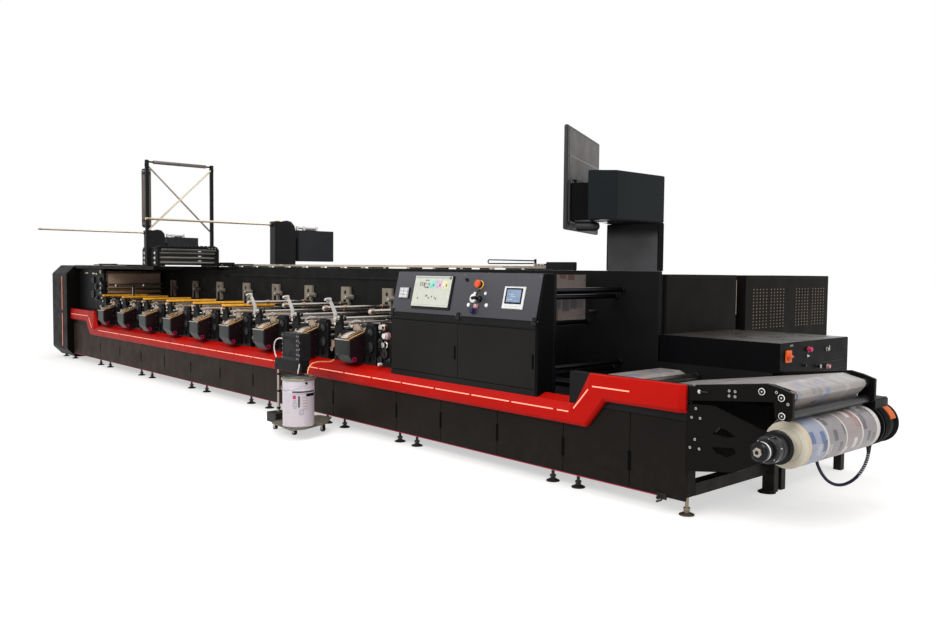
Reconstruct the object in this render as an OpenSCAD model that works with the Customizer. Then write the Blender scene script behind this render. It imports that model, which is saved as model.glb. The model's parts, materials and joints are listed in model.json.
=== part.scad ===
// Flexographic printing press, nine stations in line, with unwind housing, console,
// inspection bay, cabinets, rewinder and a wheeled ink pump.
// Lengths run left from the rewind end of the skirt, depths run back from the skirt's face.
// The origin is the middle of the underside of the front levelling foot at the rewind end.

/* [Base] */
// Length of the skirt, from the rewind end to the end housing
skirt_l = 11580; // [11400:10:12400]
// Depth of the machine, from the front skirt's face to the rear panels' face
machine_d = 1100; // [1080:10:1200]
// Height of the skirt's lower edge above the floor
skirt_z = 100; // [80:5:115]
// Height of the top of the bed
bed_z = 600; // [600:5:620]
// Thickness of the skirt panels
skirt_t = 20; // [10:1:25]
// Width of the joints between skirt panels
joint_w = 4; // [2:1:8]
// Width of the grip slots in the skirt
slot_w = 22; // [15:1:30]
// Height of the grip slots in the skirt
slot_h = 120; // [80:5:160]
// Height of the lower end of the grip slots
slot_z = 225; // [200:5:260]
// Depth of the base beams
beam_d = 92; // [80:2:100]
// Height of the underside of the base beams
beam_z = 120; // [118:1:140]
// Height of the cross ties
tie_h = 80; // [60:5:120]
// Width of the cross ties
tie_w = 80; // [60:5:120]
// Diameter of the levelling pads
pad_d = 98; // [80:2:120]
// Thickness of the levelling pads
pad_t = 16; // [12:1:20]
// Diameter of the levelling screws
screw_d = 24; // [20:1:30]

/* [Red band] */
// How far the band stands out from the skirt
band_t = 50; // [40:1:60]
// Height of the band's lower edge along the print stations
band_low_z = 460; // [440:5:480]
// Height of the band's upper edge along the print stations
band_low_top = 605; // [601:1:612]
// Height of the band's lower edge at both ends of the machine
band_high_z = 655; // [645:5:670]
// Height of the band's upper edge at both ends of the machine
band_high_top = 830; // [815:5:845]
// Where the band steps up, from the rewind end
band_step_r = 780; // [740:10:820]
// Where the band steps up, from the end housing
band_step_l = 900; // [880:10:920]
// Rise of the band's cover from its front edge to its back
band_rise = 30; // [20:1:38]
// Width of the light strips
light_w = 8; // [6:1:16]
// How far the light strips stand out
light_t = 4; // [2:1:6]

/* [End housing] */
// Length of the end housing
housing_l = 760; // [700:10:820]
// How far the end housing stands out in front of the skirt
housing_out = 100; // [80:5:120]
// Size of the end housing's chamfers
housing_cut = 132; // [120:4:160]
// Height of the end housing's underside
housing_z = 40; // [30:2:60]
// Height of the top of the housing, the back wall and the canopy
top_z = 1525; // [1500:5:1540]
// Thickness of the canopy over the infeed
canopy_t = 48; // [40:1:60]
// Length of the canopy, from the end housing
canopy_l = 3240; // [3200:10:3280]
// Length of the infeed's front plate
infeed_l = 1110; // [1060:10:1140]

/* [Back wall and rail] */
// Thickness of the back wall
wall_t = 40; // [30:1:50]
// Distance of the back wall's inner face from the skirt's face
wall_y = 1030; // [1025:1:1035]
// Height of the rail above the back wall
rail_lift = 14; // [10:1:20]
// Height of the rail
rail_h = 24; // [20:1:30]
// Depth of the rail
rail_d = 36; // [30:1:40]
// Where the rail begins, from the rewind end
rail_r = 2160; // [2160:10:2300]
// Where the rail ends, from the end housing
rail_in = 3330; // [3280:10:3480]
// Width of the grey brackets on the wall
bracket_w = 170; // [140:5:190]
// Height of the grey brackets
bracket_h = 250; // [230:5:260]
// How far the brackets' lugs stand out from the wall
bracket_d = 90; // [60:5:110]

/* [Print stations] */
// Number of print stations
station_n = 9; // [7:1:9]
// Distance from the infeed's plate to the first station's middle
first_gap = 370; // [350:5:400]
// Distance of the last station from the rewind end
last_station = 3700; // [3680:5:3720]
// Width of the ink pods
pod_w = 295; // [260:5:310]
// How far the pods stand out in front of the skirt's face
pod_out = 90; // [85:1:95]
// Height of the pods' front
pod_front_z = 857; // [845:1:870]
// Height of the pods at the station plates
pod_back_z = 920; // [905:1:930]
// Height of the pods' underside
pod_z = 650; // [648:1:660]
// Distance of the station plates from the skirt's face
plate_y = 85; // [80:1:95]
// Thickness of the station plates
plate_t = 30; // [25:1:35]
// Height of the station plates' top
plate_z = 1020; // [1005:5:1035]
// Diameter of the impression cylinders
impression_d = 260; // [240:5:270]
// Diameter of the plate cylinders
plate_cyl_d = 130; // [110:2:140]
// Diameter of the anilox rolls
anilox_d = 120; // [100:2:130]
// Diameter of the journals at the rolls' ends
journal_d = 40; // [30:1:50]

/* [Web] */
// Width of the web
web_w = 890; // [800:5:895]
// Thickness of the web as built
web_t = 2; // [1:0.5:3]
// Diameter of the idler rollers
idler_d = 60; // [54:1:62]

/* [Tower] */
// Distance of the tower from the end housing
tower_in = 2980; // [2930:10:3030]
// Height of the tower's top
tower_z = 2960; // [2900:5:3000]
// Width of the tower's posts
post_w = 44; // [40:1:60]
// Diameter of the tower's cross braces
brace_d = 18; // [12:1:22]
// Diameter of the hanging cylinder beside the tower
buffer_d = 124; // [110:2:130]
// Length of the hanging cylinder
buffer_l = 800; // [760:10:830]
// Height of the roller stack above the canopy
stack_h = 236; // [220:2:240]
// Length of the roller stack's plates
stack_l = 520; // [480:10:540]

/* [Rail units] */
// Distance of the first rail unit from the rewind end
unit_a_x = 6670; // [6600:10:6700]
// Distance of the second rail unit from the end housing
unit_b_in = 810; // [780:10:880]
// Height of the units' arms
arm_z = 2060; // [2040:5:2080]
// Length of the units' arms
arm_l = 1600; // [1500:10:1650]
// Diameter of the units' arms
arm_d = 30; // [24:1:36]

/* [Console] */
// Distance of the console's right side from the rewind end
console_x = 1265; // [1250:5:1280]
// Length of the console
console_l = 1765; // [1700:5:1800]
// Depth of the console
console_d = 165; // [160:1:170]
// Height of the console doors' lower edge
door_low_z = 655; // [640:5:680]
// Height of the console's desk edge
console_mid = 1150; // [1140:5:1160]
// Height of the console's top
console_top = 1500; // [1480:5:1520]
// How far the console's sloped panel leans back
console_lean = 82; // [70:1:90]
// Thickness of the console's doors
door_t = 18; // [14:1:22]
// Gap round the console's doors
door_gap = 5; // [5:0.5:8]
// Width of the main touch screen
screen_w = 495; // [460:5:520]
// Height of the main touch screen along the panel
screen_h = 285; // [260:5:300]

/* [Inspection bay and camera column] */
// Distance of the bay's right side from the rewind end
bay_x = 960; // [950:5:970]
// Length of the bay
bay_l = 716; // [690:2:718]
// Thickness of the bay's plates
bay_t = 30; // [24:1:36]
// Width of the column
column_w = 510; // [480:5:530]
// Depth of the column
column_d = 70; // [60:1:70]
// Height of the hood's underside
hood_z = 1900; // [1880:5:1920]
// Height of the hood's top
hood_top = 2262; // [2240:5:2280]
// Width of the monitor
monitor_w = 1085; // [1000:5:1110]
// Height of the monitor
monitor_h = 788; // [740:4:800]
// Thickness of the monitor
monitor_t = 34; // [25:1:50]
// Height of the monitor's lower edge
monitor_z = 1835; // [1820:5:1860]
// Angle of the monitor to the machine's cross direction
monitor_a = 27; // [26:1:29]

/* [Cabinets] */
// Depth of the tall cabinet, along the machine
cab_l = 560; // [500:10:600]
// Width of the plain tall cabinet
cab_w = 1050; // [1000:5:1120]
// Width of the vented cabinet
vent_w = 1550; // [1400:10:1600]
// Gap between the two tall cabinets
cab_gap = 150; // [120:5:180]
// Height of the tall cabinets
cab_z = 1498; // [1480:2:1520]
// Length of the low cabinet
low_l = 990; // [950:5:1010]
// Width of the low cabinet
low_w = 1050; // [1000:5:1080]
// Height of the low cabinet's top
low_z = 1035; // [1010:5:1050]
// Height of the low cabinet's underside
low_foot = 300; // [280:5:320]

/* [Rewinder] */
// How far the rewind shaft stands out past the skirt's end
shaft_x = 600; // [580:5:620]
// Height of the rewind shaft
shaft_z = 540; // [520:5:560]
// Diameter of the rewind shaft
shaft_d = 60; // [50:1:76]
// Diameter of the wound roll
roll_d = 272; // [200:4:276]
// Width of the wound roll
roll_w = 950; // [900:5:955]
// Thickness of the rewinder's arm plates
arm_t = 30; // [24:1:34]
// Length of the rewinder's upper beams
beam_l = 660; // [650:5:680]
// Height of the rewinder's upper beams
upper_h = 97; // [85:1:102]
// Slope of the rewinder's upper beams, in degrees
upper_a = 6; // [5:0.5:7]

/* [Ink pump] */
// Distance of the ink pail from the rewind end
pail_x = 3700; // [3680:5:3720]
// Distance of the ink pail in front of the skirt's face
pail_y = 530; // [525:5:560]
// Diameter of the ink pail
pail_d = 285; // [260:5:295]
// Height of the ink pail
pail_h = 445; // [420:5:460]

/* [Hidden] */
$fn = 48;

seat = 0.3;             // clearance between pieces that rest on each other
foot_end = 30;          // distance of the datum foot from the rewind end
foot_inset = beam_d / 2 + skirt_t;
rear_y = machine_d;
rear_foot_y = machine_d - foot_inset;
pitch = (skirt_l - infeed_l - first_gap - last_station) / (station_n - 1);
tower_x = skirt_l - tower_in;
rail_l = skirt_l - rail_in;
unit_b_x = skirt_l - unit_b_in;
station_x = [for (i = [0:station_n - 1]) -last_station - i * pitch];
roll_y0 = plate_y + plate_t + seat;
roll_y1 = wall_y - seat;
web_y = 565;            // the web's middle

// Frame joints with a pair of feet each: distance from the rewind end, half the pair's spacing
foot_pairs = [[1040, 120], [2860, 120], [4000, 150], [5510, 205], [7060, 215], [8720, 185]];
foot_pair_end = [1250, 200];    // the last pair, counted from the end housing
end_foot = 150;                 // the foot under the end housing, counted from its right face
foot_x = concat(
    [-foot_end],
    [for (p = foot_pairs) for (s = [1, -1]) -p[0] + s * p[1]],
    [for (s = [1, -1]) -skirt_l + foot_pair_end[0] + s * foot_pair_end[1]],
    [-skirt_l - end_foot, -skirt_l - housing_l + end_foot]
);
// Joints of the skirt: on the right by hand, then one beside each print station
right_joints = [430, 1010, 1680, 2350, 2950];
joint_off = 252;
joint_x = concat([for (j = right_joints) -j], [for (x = station_x) x - joint_off]);

// Everything is placed from the datum foot
module datum() {
    translate([foot_end, -foot_inset, 0]) children();
}

// A box from its corner ranges
module slab(x0, x1, y0, y1, z0, z1) {
    translate([x0, y0, z0]) cube([x1 - x0, y1 - y0, z1 - z0]);
}

// A round bar across the machine
module bar_y(x, z, y0, y1, d) {
    translate([x, y0, z]) rotate([-90, 0, 0]) cylinder(d = d, h = y1 - y0);
}

// A roll with a journal at each end
module roll_y(x, z, y0, y1, d, end = 30) {
    bar_y(x, z, y0, y1, journal_d < d ? journal_d : d / 2);
    bar_y(x, z, y0 + end, y1 - end, d);
}

// An outline in depth and height, drawn out along the machine from x0 to x1
module drawn_x(x0, x1, pts) {
    translate([x0, 0, 0]) rotate([90, 0, 90]) linear_extrude(x1 - x0) polygon(pts);
}

// An outline in length and height, drawn out in depth from y0 to y1
module drawn_y(y0, y1, pts) {
    translate([0, y1, 0]) rotate([90, 0, 0]) linear_extrude(y1 - y0) polygon(pts);
}

// Base ------------------------------------------------------------------

beam_y = skirt_t + seat;

module front_beam() {
    color([0.10, 0.10, 0.11]) datum()
        slab(-skirt_l + seat, 0, beam_y, beam_y + beam_d - 2 * seat, beam_z, bed_z);
}

// At the rewind end the rear beam stands on a leg that reaches past it
leg_x = [-34, 56];
leg_top = 280;

module rear_beam() {
    y1 = rear_y - beam_y;
    color([0.10, 0.10, 0.11]) datum() {
        slab(-skirt_l + seat, 0, y1 - beam_d + 2 * seat, y1, beam_z, bed_z);
        slab(leg_x[0], leg_x[1], y1 - beam_d + 2 * seat, y1 - 30, 0, leg_top);
    }
}

tie_first = 40;
tie_step = 1600;

module cross_ties() {
    color([0.12, 0.12, 0.13]) datum()
        for (x = [tie_first : tie_step : skirt_l])
            slab(
                -x - tie_w / 2, -x + tie_w / 2,
                beam_y + beam_d, rear_y - beam_y - beam_d, beam_z, beam_z + tie_h
            );
}

bed_t = 12;

module bed_plate() {
    color([0.13, 0.13, 0.14]) datum()
        slab(
            -skirt_l + seat, -bay_x + bay_t,
            beam_y + beam_d, rear_y - beam_y - beam_d, bed_z - bed_t, bed_z
        );
}

module foot(x, y, top) {
    translate([x, y, 0]) {
        cylinder(d1 = pad_d, d2 = pad_d * 0.8, h = pad_t);
        cylinder(d = screw_d, h = top);
    }
}

module levelling_feet() {
    color([0.45, 0.42, 0.38]) datum()
        for (x = foot_x)
            for (y = x == -foot_end ? [foot_inset] : [foot_inset, rear_foot_y])
                foot(x, y, (x < -skirt_l ? housing_z : beam_z) - seat);
}

// A row of skirt panels with a slot at each joint
module panel_row(y) {
    ends = concat([0], joint_x, [-skirt_l]);
    difference() {
        for (i = [0 : len(ends) - 2])
            slab(ends[i + 1] + joint_w / 2, ends[i] - joint_w / 2, y, y + skirt_t, skirt_z, bed_z);
        for (x = joint_x)
            slab(x - slot_w / 2, x + slot_w / 2, y - 1, y + skirt_t + 1, slot_z, slot_z + slot_h);
    }
}

module skirt_panels() {
    color([0.14, 0.12, 0.12]) datum() panel_row(0);
}

module rear_panels() {
    color([0.14, 0.12, 0.12]) datum() panel_row(rear_y - skirt_t);
}

// Red band ----------------------------------------------------------------

// The step runs at this slope: length gained over the band's rise
step_run = 160;

band_left = -skirt_l + seat;
band_pts = [
    [0, band_high_z],
    [-band_step_r + step_run, band_high_z],
    [-band_step_r, band_low_z],
    [band_left + band_step_l, band_low_z],
    [band_left + band_step_l - step_run, band_high_z],
    [band_left, band_high_z],
    [band_left, band_high_top],
    [band_left + band_step_l + step_run, band_high_top],
    [band_left + band_step_l + 1.5 * step_run, band_low_top],
    [-band_step_r - step_run * 0.7, band_low_top],
    [-band_step_r + step_run * 0.2, band_high_top],
    [0, band_high_top]
];

module red_band() {
    color([0.75, 0.05, 0.07]) datum() {
        difference() {
            drawn_y(-band_t, -seat, band_pts);
            translate([0, -band_t, band_high_z - 1]) rotate([0, 0, 45])
                translate([0, -band_t, 0]) cube([2 * band_t, 2 * band_t, band_high_top - band_high_z + 2]);
        }
        for (r = [
            [band_left + band_step_l + 1.5 * step_run, cx0 - seat],
            [cx1 + seat, -bay_x]
        ])
            drawn_x(r[0], r[1], [
                [-seat - 1, bed_z + seat],
                [plate_y - seat, bed_z + seat],
                [plate_y - seat, band_low_top + band_rise],
                [-seat - 1, band_low_top]
            ]);
    }
}

// Light strips: straight runs on the band, the step and the housing
led_z = band_low_z + 90;
led_high = band_high_z + 92;
run_gap = 28;
led_run = 440;
skirt_light_h = 6;

module led(p, q) {
    d = q - p;
    l = norm(d);
    a = atan2(d[1], d[0]);
    translate([p[0], -band_t - seat - light_t, p[1]]) rotate([0, -a, 0])
        translate([0, 0, -light_w / 2]) cube([l, light_t, light_w]);
}

module light_strips() {
    left_step = band_left + band_step_l;
    color([1.0, 0.75, 0.7]) datum() {
        for (x = [-band_step_r - 270 - led_run : -led_run : left_step + 100])
            led([x + run_gap / 2, led_z], [x + led_run - run_gap / 2, led_z]);
        led([-band_step_r - 244, led_z], [-band_step_r - 141, led_z]);
        led([-band_step_r - 93, led_z + 29], [-band_step_r + 32, led_high - 25]);
        led([-band_step_r + 69, led_high], [-403, led_high]);
        led([left_step - 32, led_high - 25], [left_step + 93, led_z + 29]);
        led([band_left + 60, led_high], [left_step - 69, led_high]);
        for (z = [[210, 745], [800, 1345]])
            slab(
                -skirt_l - 250, -skirt_l - 250 + light_w,
                -housing_out - seat - light_t, -housing_out - seat, z[0], z[1]
            );
        slab(-skirt_l + 10, -160, -seat - light_t, -seat, skirt_z, skirt_z + skirt_light_h);
    }
}

// End housing, infeed and canopy ------------------------------------------

module end_housing() {
    c = housing_cut;
    y0 = -housing_out;
    y1 = rear_y + housing_out;
    color([0.11, 0.11, 0.12]) datum()
        drawn_x(
            -skirt_l - housing_l, -skirt_l,
            [
                [y0, housing_z + c], [y0 + c, housing_z], [y1 - c, housing_z], [y1, housing_z + c],
                [y1, top_z - c], [y1 - c, top_z], [y0 + c, top_z], [y0, top_z - c]
            ]
        );
}

front_plate_y = 100;

sill_l = 960;

module infeed_plates() {
    color([0.12, 0.12, 0.13]) datum() {
        slab(
            -skirt_l + seat, -skirt_l + infeed_l,
            front_plate_y, front_plate_y + plate_t, bed_z + seat, top_z - canopy_t - seat
        );
        slab(-skirt_l + seat, -skirt_l + sill_l, seat, front_plate_y + 1, bed_z + seat, band_high_top - 20);
    }
}

canopy_y = 20;

module canopy() {
    color([0.11, 0.11, 0.12]) datum()
        slab(-skirt_l + seat, -skirt_l + canopy_l, canopy_y, wall_y - seat, top_z - canopy_t, top_z);
}

module back_wall() {
    color([0.10, 0.10, 0.11]) datum()
        slab(-skirt_l + seat, -bay_x - seat, wall_y, wall_y + wall_t, bed_z + seat, top_z);
}

bracket_z = 1060;
bracket_t = 28;
bracket_off = 50;      // the brackets' offset from the stations' middles

// A bracket stands on two legs, with a hole above and a lug at its right side
module bracket(x) {
    w = bracket_w / 2;
    y0 = wall_y - bracket_t - seat;
    difference() {
        drawn_y(y0, wall_y - seat, [
            [x - w, bracket_z], [x - w + 48, bracket_z], [x - w + 48, bracket_z + 105],
            [x + w - 62, bracket_z + 105], [x + w - 62, bracket_z], [x + w - 12, bracket_z],
            [x + w - 12, bracket_z + 120], [x + w + 50, bracket_z + 110], [x + w + 60, bracket_z + 150],
            [x + w, bracket_z + 170], [x + w, bracket_z + bracket_h], [x - w, bracket_z + bracket_h]
        ]);
        bar_y(x, bracket_z + bracket_h - 62, y0 - 1, wall_y, 44);
    }
    bar_y(x + w + 30, bracket_z + 135, wall_y - bracket_d, y0 + 1, 46);
}

module wall_brackets() {
    color([0.55, 0.54, 0.50]) datum()
        for (x = station_x) bracket(x + bracket_off);
}

// Print stations -----------------------------------------------------------

upright_off = 178;     // from the station's middle to its upright
upright_w = 150;
tab_off = 290;         // from the station's middle to the rod that its left tab carries
tab_w = 70;
rod_d = 34;
rod_z = 1035;
low_rod_z = 985;

exit_x = -last_station + 500;  // where the web leaves the last station over three rollers

module station_plates() {
    right = upright_off + upright_w;
    color([0.09, 0.09, 0.10]) datum()
        for (x = station_x)
            difference() {
                drawn_y(plate_y, plate_y + plate_t, [
                    [x - tab_off - tab_w, bed_z + seat],
                    [x + right, bed_z + seat],
                    [x + right, plate_z],
                    [x + upright_off, plate_z],
                    [x + upright_off - 30, pod_back_z + 12],
                    [x - tab_off + tab_w / 2 + 20, pod_back_z + 12],
                    [x - tab_off + tab_w / 2, rod_z + 26],
                    [x - tab_off - tab_w, rod_z + 26]
                ]);
                for (r = [[tab_off, rod_z], [tab_off + 40, low_rod_z]])
                    bar_y(x - r[0], r[1], plate_y - 1, plate_y + plate_t + 1, rod_d + 2 * seat);
            }
    color([0.09, 0.09, 0.10]) datum()
        slab(exit_x - 110, exit_x + 80, plate_y, plate_y + plate_t, bed_z + seat, 1040);
}

pod_cut = 70;

module pod(x) {
    difference() {
        drawn_x(x - pod_w / 2, x + pod_w / 2, [
            [-pod_out, pod_z + pod_cut],
            [-pod_out + pod_cut * 0.7, pod_z],
            [plate_y - seat, pod_z],
            [plate_y - seat, pod_back_z],
            [-pod_out, pod_front_z]
        ]);
        translate([x - pod_w / 2, 0, pod_z]) rotate([0, 45, 0])
            cube([pod_cut * 1.4, 4 * pod_out, pod_cut * 1.4], center = true);
        translate([x - pod_w / 2, -pod_out, 0]) rotate([0, 0, 45])
            translate([-pod_cut * 0.5, -pod_cut * 0.5, pod_z - 1]) cube([pod_cut, pod_cut, pod_back_z]);
    }
}

module ink_pods() {
    color([0.15, 0.16, 0.17]) datum()
        for (x = station_x) pod(x);
}

tray_t = 14;
tray_w = 190;

module pod_trays() {
    slope = atan2(pod_back_z - pod_front_z, plate_y + pod_out);
    color([0.72, 0.62, 0.48]) datum()
        for (x = station_x)
            translate([x + pod_w / 2 - tray_w, -pod_out, pod_front_z + seat]) rotate([slope, 0, 0])
                difference() {
                    cube([tray_w - 8, (plate_y + pod_out) * 0.97, tray_t + 12]);
                    translate([12, 12, 4]) cube([tray_w - 32, plate_y + pod_out, tray_t + 12]);
                }
}

// Rolls of one station: impression cylinder, plate cylinder, anilox roll
impression_z = 740;
plate_cyl_x = 40;
plate_cyl_z = impression_z + (impression_d + plate_cyl_d) / 2 + 2;
anilox_x = 150;

module station_rolls() {
    color([0.62, 0.60, 0.58]) datum()
        for (x = station_x) {
            roll_y(x - 20, impression_z, roll_y0, roll_y1, impression_d);
            roll_y(x - plate_cyl_x, plate_cyl_z, roll_y0 + 60, roll_y1, plate_cyl_d);
            roll_y(x - plate_cyl_x + anilox_x, plate_cyl_z - 20, roll_y0, roll_y1, anilox_d);
        }
}

amber_n = 6;
amber_w = 70;
amber_h = 26;

module amber_covers() {
    color([0.95, 0.55, 0.10]) datum()
        for (i = [max(0, station_n - amber_n) : station_n - 1])
            slab(
                station_x[i] - tab_off - amber_w / 2, station_x[i] - tab_off + amber_w / 2,
                plate_y - 25, plate_y + 640, rod_z + 26 + seat, rod_z + 26 + amber_h
            );
}

arm_n = 3;             // the last stations carry bent arms
arm_w = 24;
arm_top_z = 1215;
arm_y = 40;

module idler_arms() {
    color([0.80, 0.79, 0.76]) datum()
        for (i = [0 : arm_n - 1]) {
            x = station_x[i] - tab_off;
            difference() {
                union() {
                    drawn_y(arm_y, arm_y + 22, [
                        [x - 20, rod_z - 8], [x + 20, rod_z - 8], [x + 6, rod_z + 62],
                        [x - 52, rod_z + 138], [x - 104, arm_top_z + 12], [x - 132, arm_top_z - 2],
                        [x - 76, rod_z + 124], [x - 24, rod_z + 50]
                    ]);
                    bar_y(x, rod_z, arm_y, arm_y + 22, 54);
                    bar_y(x - 118, arm_top_z, arm_y - 12, arm_y + 30, 44);
                }
                bar_y(x, rod_z, arm_y - 1, arm_y + 23, rod_d + 2 * seat);
            }
        }
}

bar_n = 4;             // the last stations carry a thick bar to the wall's bracket
bar_d = 40;
bar_z = 1118;

module idler_rods() {
    color([0.85, 0.85, 0.86]) datum() {
        for (x = station_x) {
            bar_y(x - tab_off, rod_z, arm_y - 4, roll_y1, rod_d);
            bar_y(x - tab_off - 40, low_rod_z, plate_y - 20, roll_y1, rod_d);
        }
        for (i = [0 : bar_n - 1])
            bar_y(
                station_x[i] + bracket_off + 40, bar_z,
                plate_y + 90, wall_y - bracket_t - 2 * seat, bar_d
            );
    }
}

// Rail and its units ---------------------------------------------------------

rail_y = wall_y + wall_t / 2;

module overhead_rail() {
    n = 14;
    color([0.72, 0.71, 0.68]) datum() {
        slab(
            -rail_l, -rail_r,
            rail_y - rail_d / 2, rail_y + rail_d / 2, top_z + rail_lift, top_z + rail_lift + rail_h
        );
        for (i = [0:n])
            translate([-rail_l + 100 + i * (rail_l - rail_r - 200) / n, 0, 0])
                slab(-60, 60, rail_y - 12, rail_y + 12, top_z + seat, top_z + rail_lift + 1);
    }
}

tool_x = 1830;
loop_x = 2925;         // the tool's long loop handle reaches this far

module rail_tools() {
    color([0.10, 0.10, 0.11]) datum() {
        slab(-rail_r + seat, -tool_x, wall_y + 2, wall_y + wall_t, top_z + seat, 1595);
        slab(-rail_r - 150, -rail_r + 1, wall_y + 2, wall_y + wall_t, unit_z, 1580);
        for (z = [1576, 1610])
            slab(-loop_x, -rail_r - 130, wall_y + 14, wall_y + 26, z, z + 12);
        slab(-loop_x, -loop_x + 12, wall_y + 14, wall_y + 26, 1576, 1622);
        slab(-rail_r - 150, -rail_r - 130, wall_y + 14, wall_y + 26, unit_z, 1622);
    }
}

unit_t = 130;
unit_y = 862;
unit_d = 295;
unit_back_y = 1200;
unit_back_d = 525;
unit_z = top_z + rail_lift + rail_h + seat;

module rail_units() {
    color([0.13, 0.13, 0.14]) datum()
        for (x = [-unit_a_x, -unit_b_x]) {
            z = x < -rail_l ? top_z + seat : unit_z;
            slab(x - unit_t / 2, x + unit_t / 2, unit_y, unit_y + unit_d, z, arm_z + 40);
            slab(
                x - unit_t / 2, x + unit_t / 2,
                unit_back_y, unit_back_y + unit_back_d, unit_z + 40, arm_z - 60
            );
            slab(x - 30, x + 30, unit_y + unit_d - 1, unit_back_y + 1, unit_z + 60, arm_z - 160);
        }
}

module rail_arms() {
    color([0.60, 0.59, 0.57]) datum()
        for (x = [-unit_a_x, -unit_b_x])
            bar_y(x, arm_z, unit_y - arm_l, unit_y - seat, arm_d);
}

// Tower and roller stack -------------------------------------------------------

tower_y0 = canopy_y + seat;
tower_y1 = wall_y - 40;

module brace(y0, z0, y1, z1) {
    translate([-tower_x, y0, z0]) rotate([-atan2(y1 - y0, z1 - z0), 0, 0])
        cylinder(d = brace_d, h = norm([y1 - y0, z1 - z0]));
}

module tower_frame() {
    zb = top_z + seat;
    color([0.16, 0.16, 0.17]) datum() {
        slab(-tower_x - post_w / 2, -tower_x + post_w / 2, tower_y0, tower_y0 + post_w, zb, tower_z);
        slab(-tower_x - post_w / 2, -tower_x + post_w / 2, tower_y1 - post_w, tower_y1, zb, tower_z);
        bar_y(-tower_x, tower_z - 25, tower_y0 + 10, tower_y1 - 10, 24);
        bar_y(-tower_x, tower_z - 25, tower_y0 + 110, tower_y1 - 110, 48);
        brace(tower_y0 + post_w / 2, top_z + 480, tower_y1 - post_w / 2, tower_z - 60);
        brace(tower_y0 + post_w / 2, tower_z - 60, tower_y1 - post_w / 2, top_z + 480);
    }
}

module buffer_cylinder() {
    x = -tower_x - post_w / 2 - buffer_d / 2 - 40;
    zc = tower_z - 110 - buffer_l;
    color([0.55, 0.54, 0.53]) datum() {
        translate([x, tower_y0 + buffer_d / 2, zc]) cylinder(d = buffer_d, h = buffer_l);
        for (z = [zc + 80, zc + buffer_l - 80])
            slab(x, -tower_x - post_w / 2 - seat, tower_y0 + 10, tower_y0 + 40, z, z + 30);
    }
}

module stack_plates() {
    x0 = -tower_x - post_w / 2 - 220;
    color([0.10, 0.10, 0.11]) datum()
        for (y = [tower_y0 + post_w + seat, tower_y1 - post_w - plate_t - seat])
            slab(x0, x0 + stack_l, y, y + plate_t, top_z + seat, top_z + stack_h);
}

stack_y0 = tower_y0 + post_w + plate_t + 2 * seat;
stack_y1 = tower_y1 - post_w - plate_t - 2 * seat;
bay_y0 = console_d + seat;

module idler_rollers() {
    x0 = -tower_x - post_w / 2 - 220 + stack_l;
    color([0.70, 0.69, 0.68]) datum() {
        for (drop = [47, 227, 297, 367, 577, 717])
            roll_y(
                -skirt_l + infeed_l - 50, top_z - canopy_t - drop,
                front_plate_y + plate_t + seat, roll_y1, idler_d, 12
            );
        for (z = [45, 110, 175])
            roll_y(x0 - 60, top_z + z, stack_y0, stack_y1, idler_d, 12);
        for (p = [
            [40, console_top - 125], [110, console_top - 178], [50, bed_z + 195], [120, bed_z + 140]
        ])
            roll_y(-console_x - p[0], p[1], bay_y0 + bay_t, roll_y1, idler_d * 0.7, 12);
        for (z = [console_top - 150, bed_z + 500])
            roll_y(-bay_web_x + idler_d * 0.35 + seat, z, bay_y0 + bay_t, roll_y1, idler_d * 0.7, 12);
        for (p = [[-30, 995], [20, 920], [10, 840]])
            roll_y(exit_x + p[0], p[1], roll_y0, roll_y1, idler_d, 12);
        for (x = [745, 600])
            roll_y(-x, table_roll_z, table_y1, roll_y1, idler_d, 12);
    }
}

// Console ---------------------------------------------------------------------

cx1 = -console_x;
cx0 = -console_x - console_l;
door_z0 = door_low_z;
door_z1 = console_mid - 62;
door_w = (console_l - 3 * door_gap) / 2;
pin_d = 10;            // the doors turn on pins at their outer edges
pin_in = door_gap + door_t / 2;
pin_out = 25;

module console_body() {
    color([0.13, 0.13, 0.14]) datum()
        difference() {
            drawn_x(cx0, cx1, [
                [0, bed_z + seat],
                [console_d, bed_z + seat],
                [console_d, console_top],
                [console_lean, console_top],
                [0, console_mid]
            ]);
            slab(
                cx0 - 1, cx1 + 1,
                -1, door_t + 6, door_z0 - door_gap, door_z1 + door_gap
            );
            for (x = [cx0 + pin_in, cx1 - pin_in])
                translate([x, door_t / 2, door_z0 - 30])
                    cylinder(d = pin_d + 2 * seat, h = door_z1 - door_z0 + 60);
        }
}

// A console door with its grip slot and its pin
module console_door(x0, slot_x, pin_x) {
    difference() {
        slab(x0, x0 + door_w, 0, door_t, door_z0, door_z1);
        slab(slot_x - 6, slot_x + 6, -1, 6, 810, 900);
    }
    translate([pin_x, door_t / 2, door_z0 - pin_out])
        cylinder(d = pin_d, h = door_z1 - door_z0 + 2 * pin_out);
}

module console_door_left() {
    color([0.12, 0.12, 0.13]) datum()
        console_door(cx0 + door_gap, cx0 + door_gap + door_w - 30, cx0 + pin_in);
}

module console_door_right() {
    color([0.12, 0.12, 0.13]) datum()
        console_door(cx0 + 2 * door_gap + door_w, cx1 - 50, cx1 - pin_in);
}

// The panel's own slope, and pieces that lie on it
panel_a = atan2(console_lean, console_top - console_mid);
panel_h = norm([console_lean, console_top - console_mid]);

module on_panel(x, s) {
    translate([x, 0, console_mid]) rotate([-panel_a, 0, 0]) translate([0, -seat, s]) children();
}

small_screen = [225, 8, 175];

module screens() {
    color([0.75, 0.78, 0.80]) datum() {
        on_panel(cx0 + 275, 40) translate([0, -10, 0]) cube([screen_w, 10, screen_h]);
        on_panel(cx0 + 1365, 82) translate([0, -small_screen[1], 0]) cube(small_screen);
    }
}

// Inspection bay, column and monitor ---------------------------------------------

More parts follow.
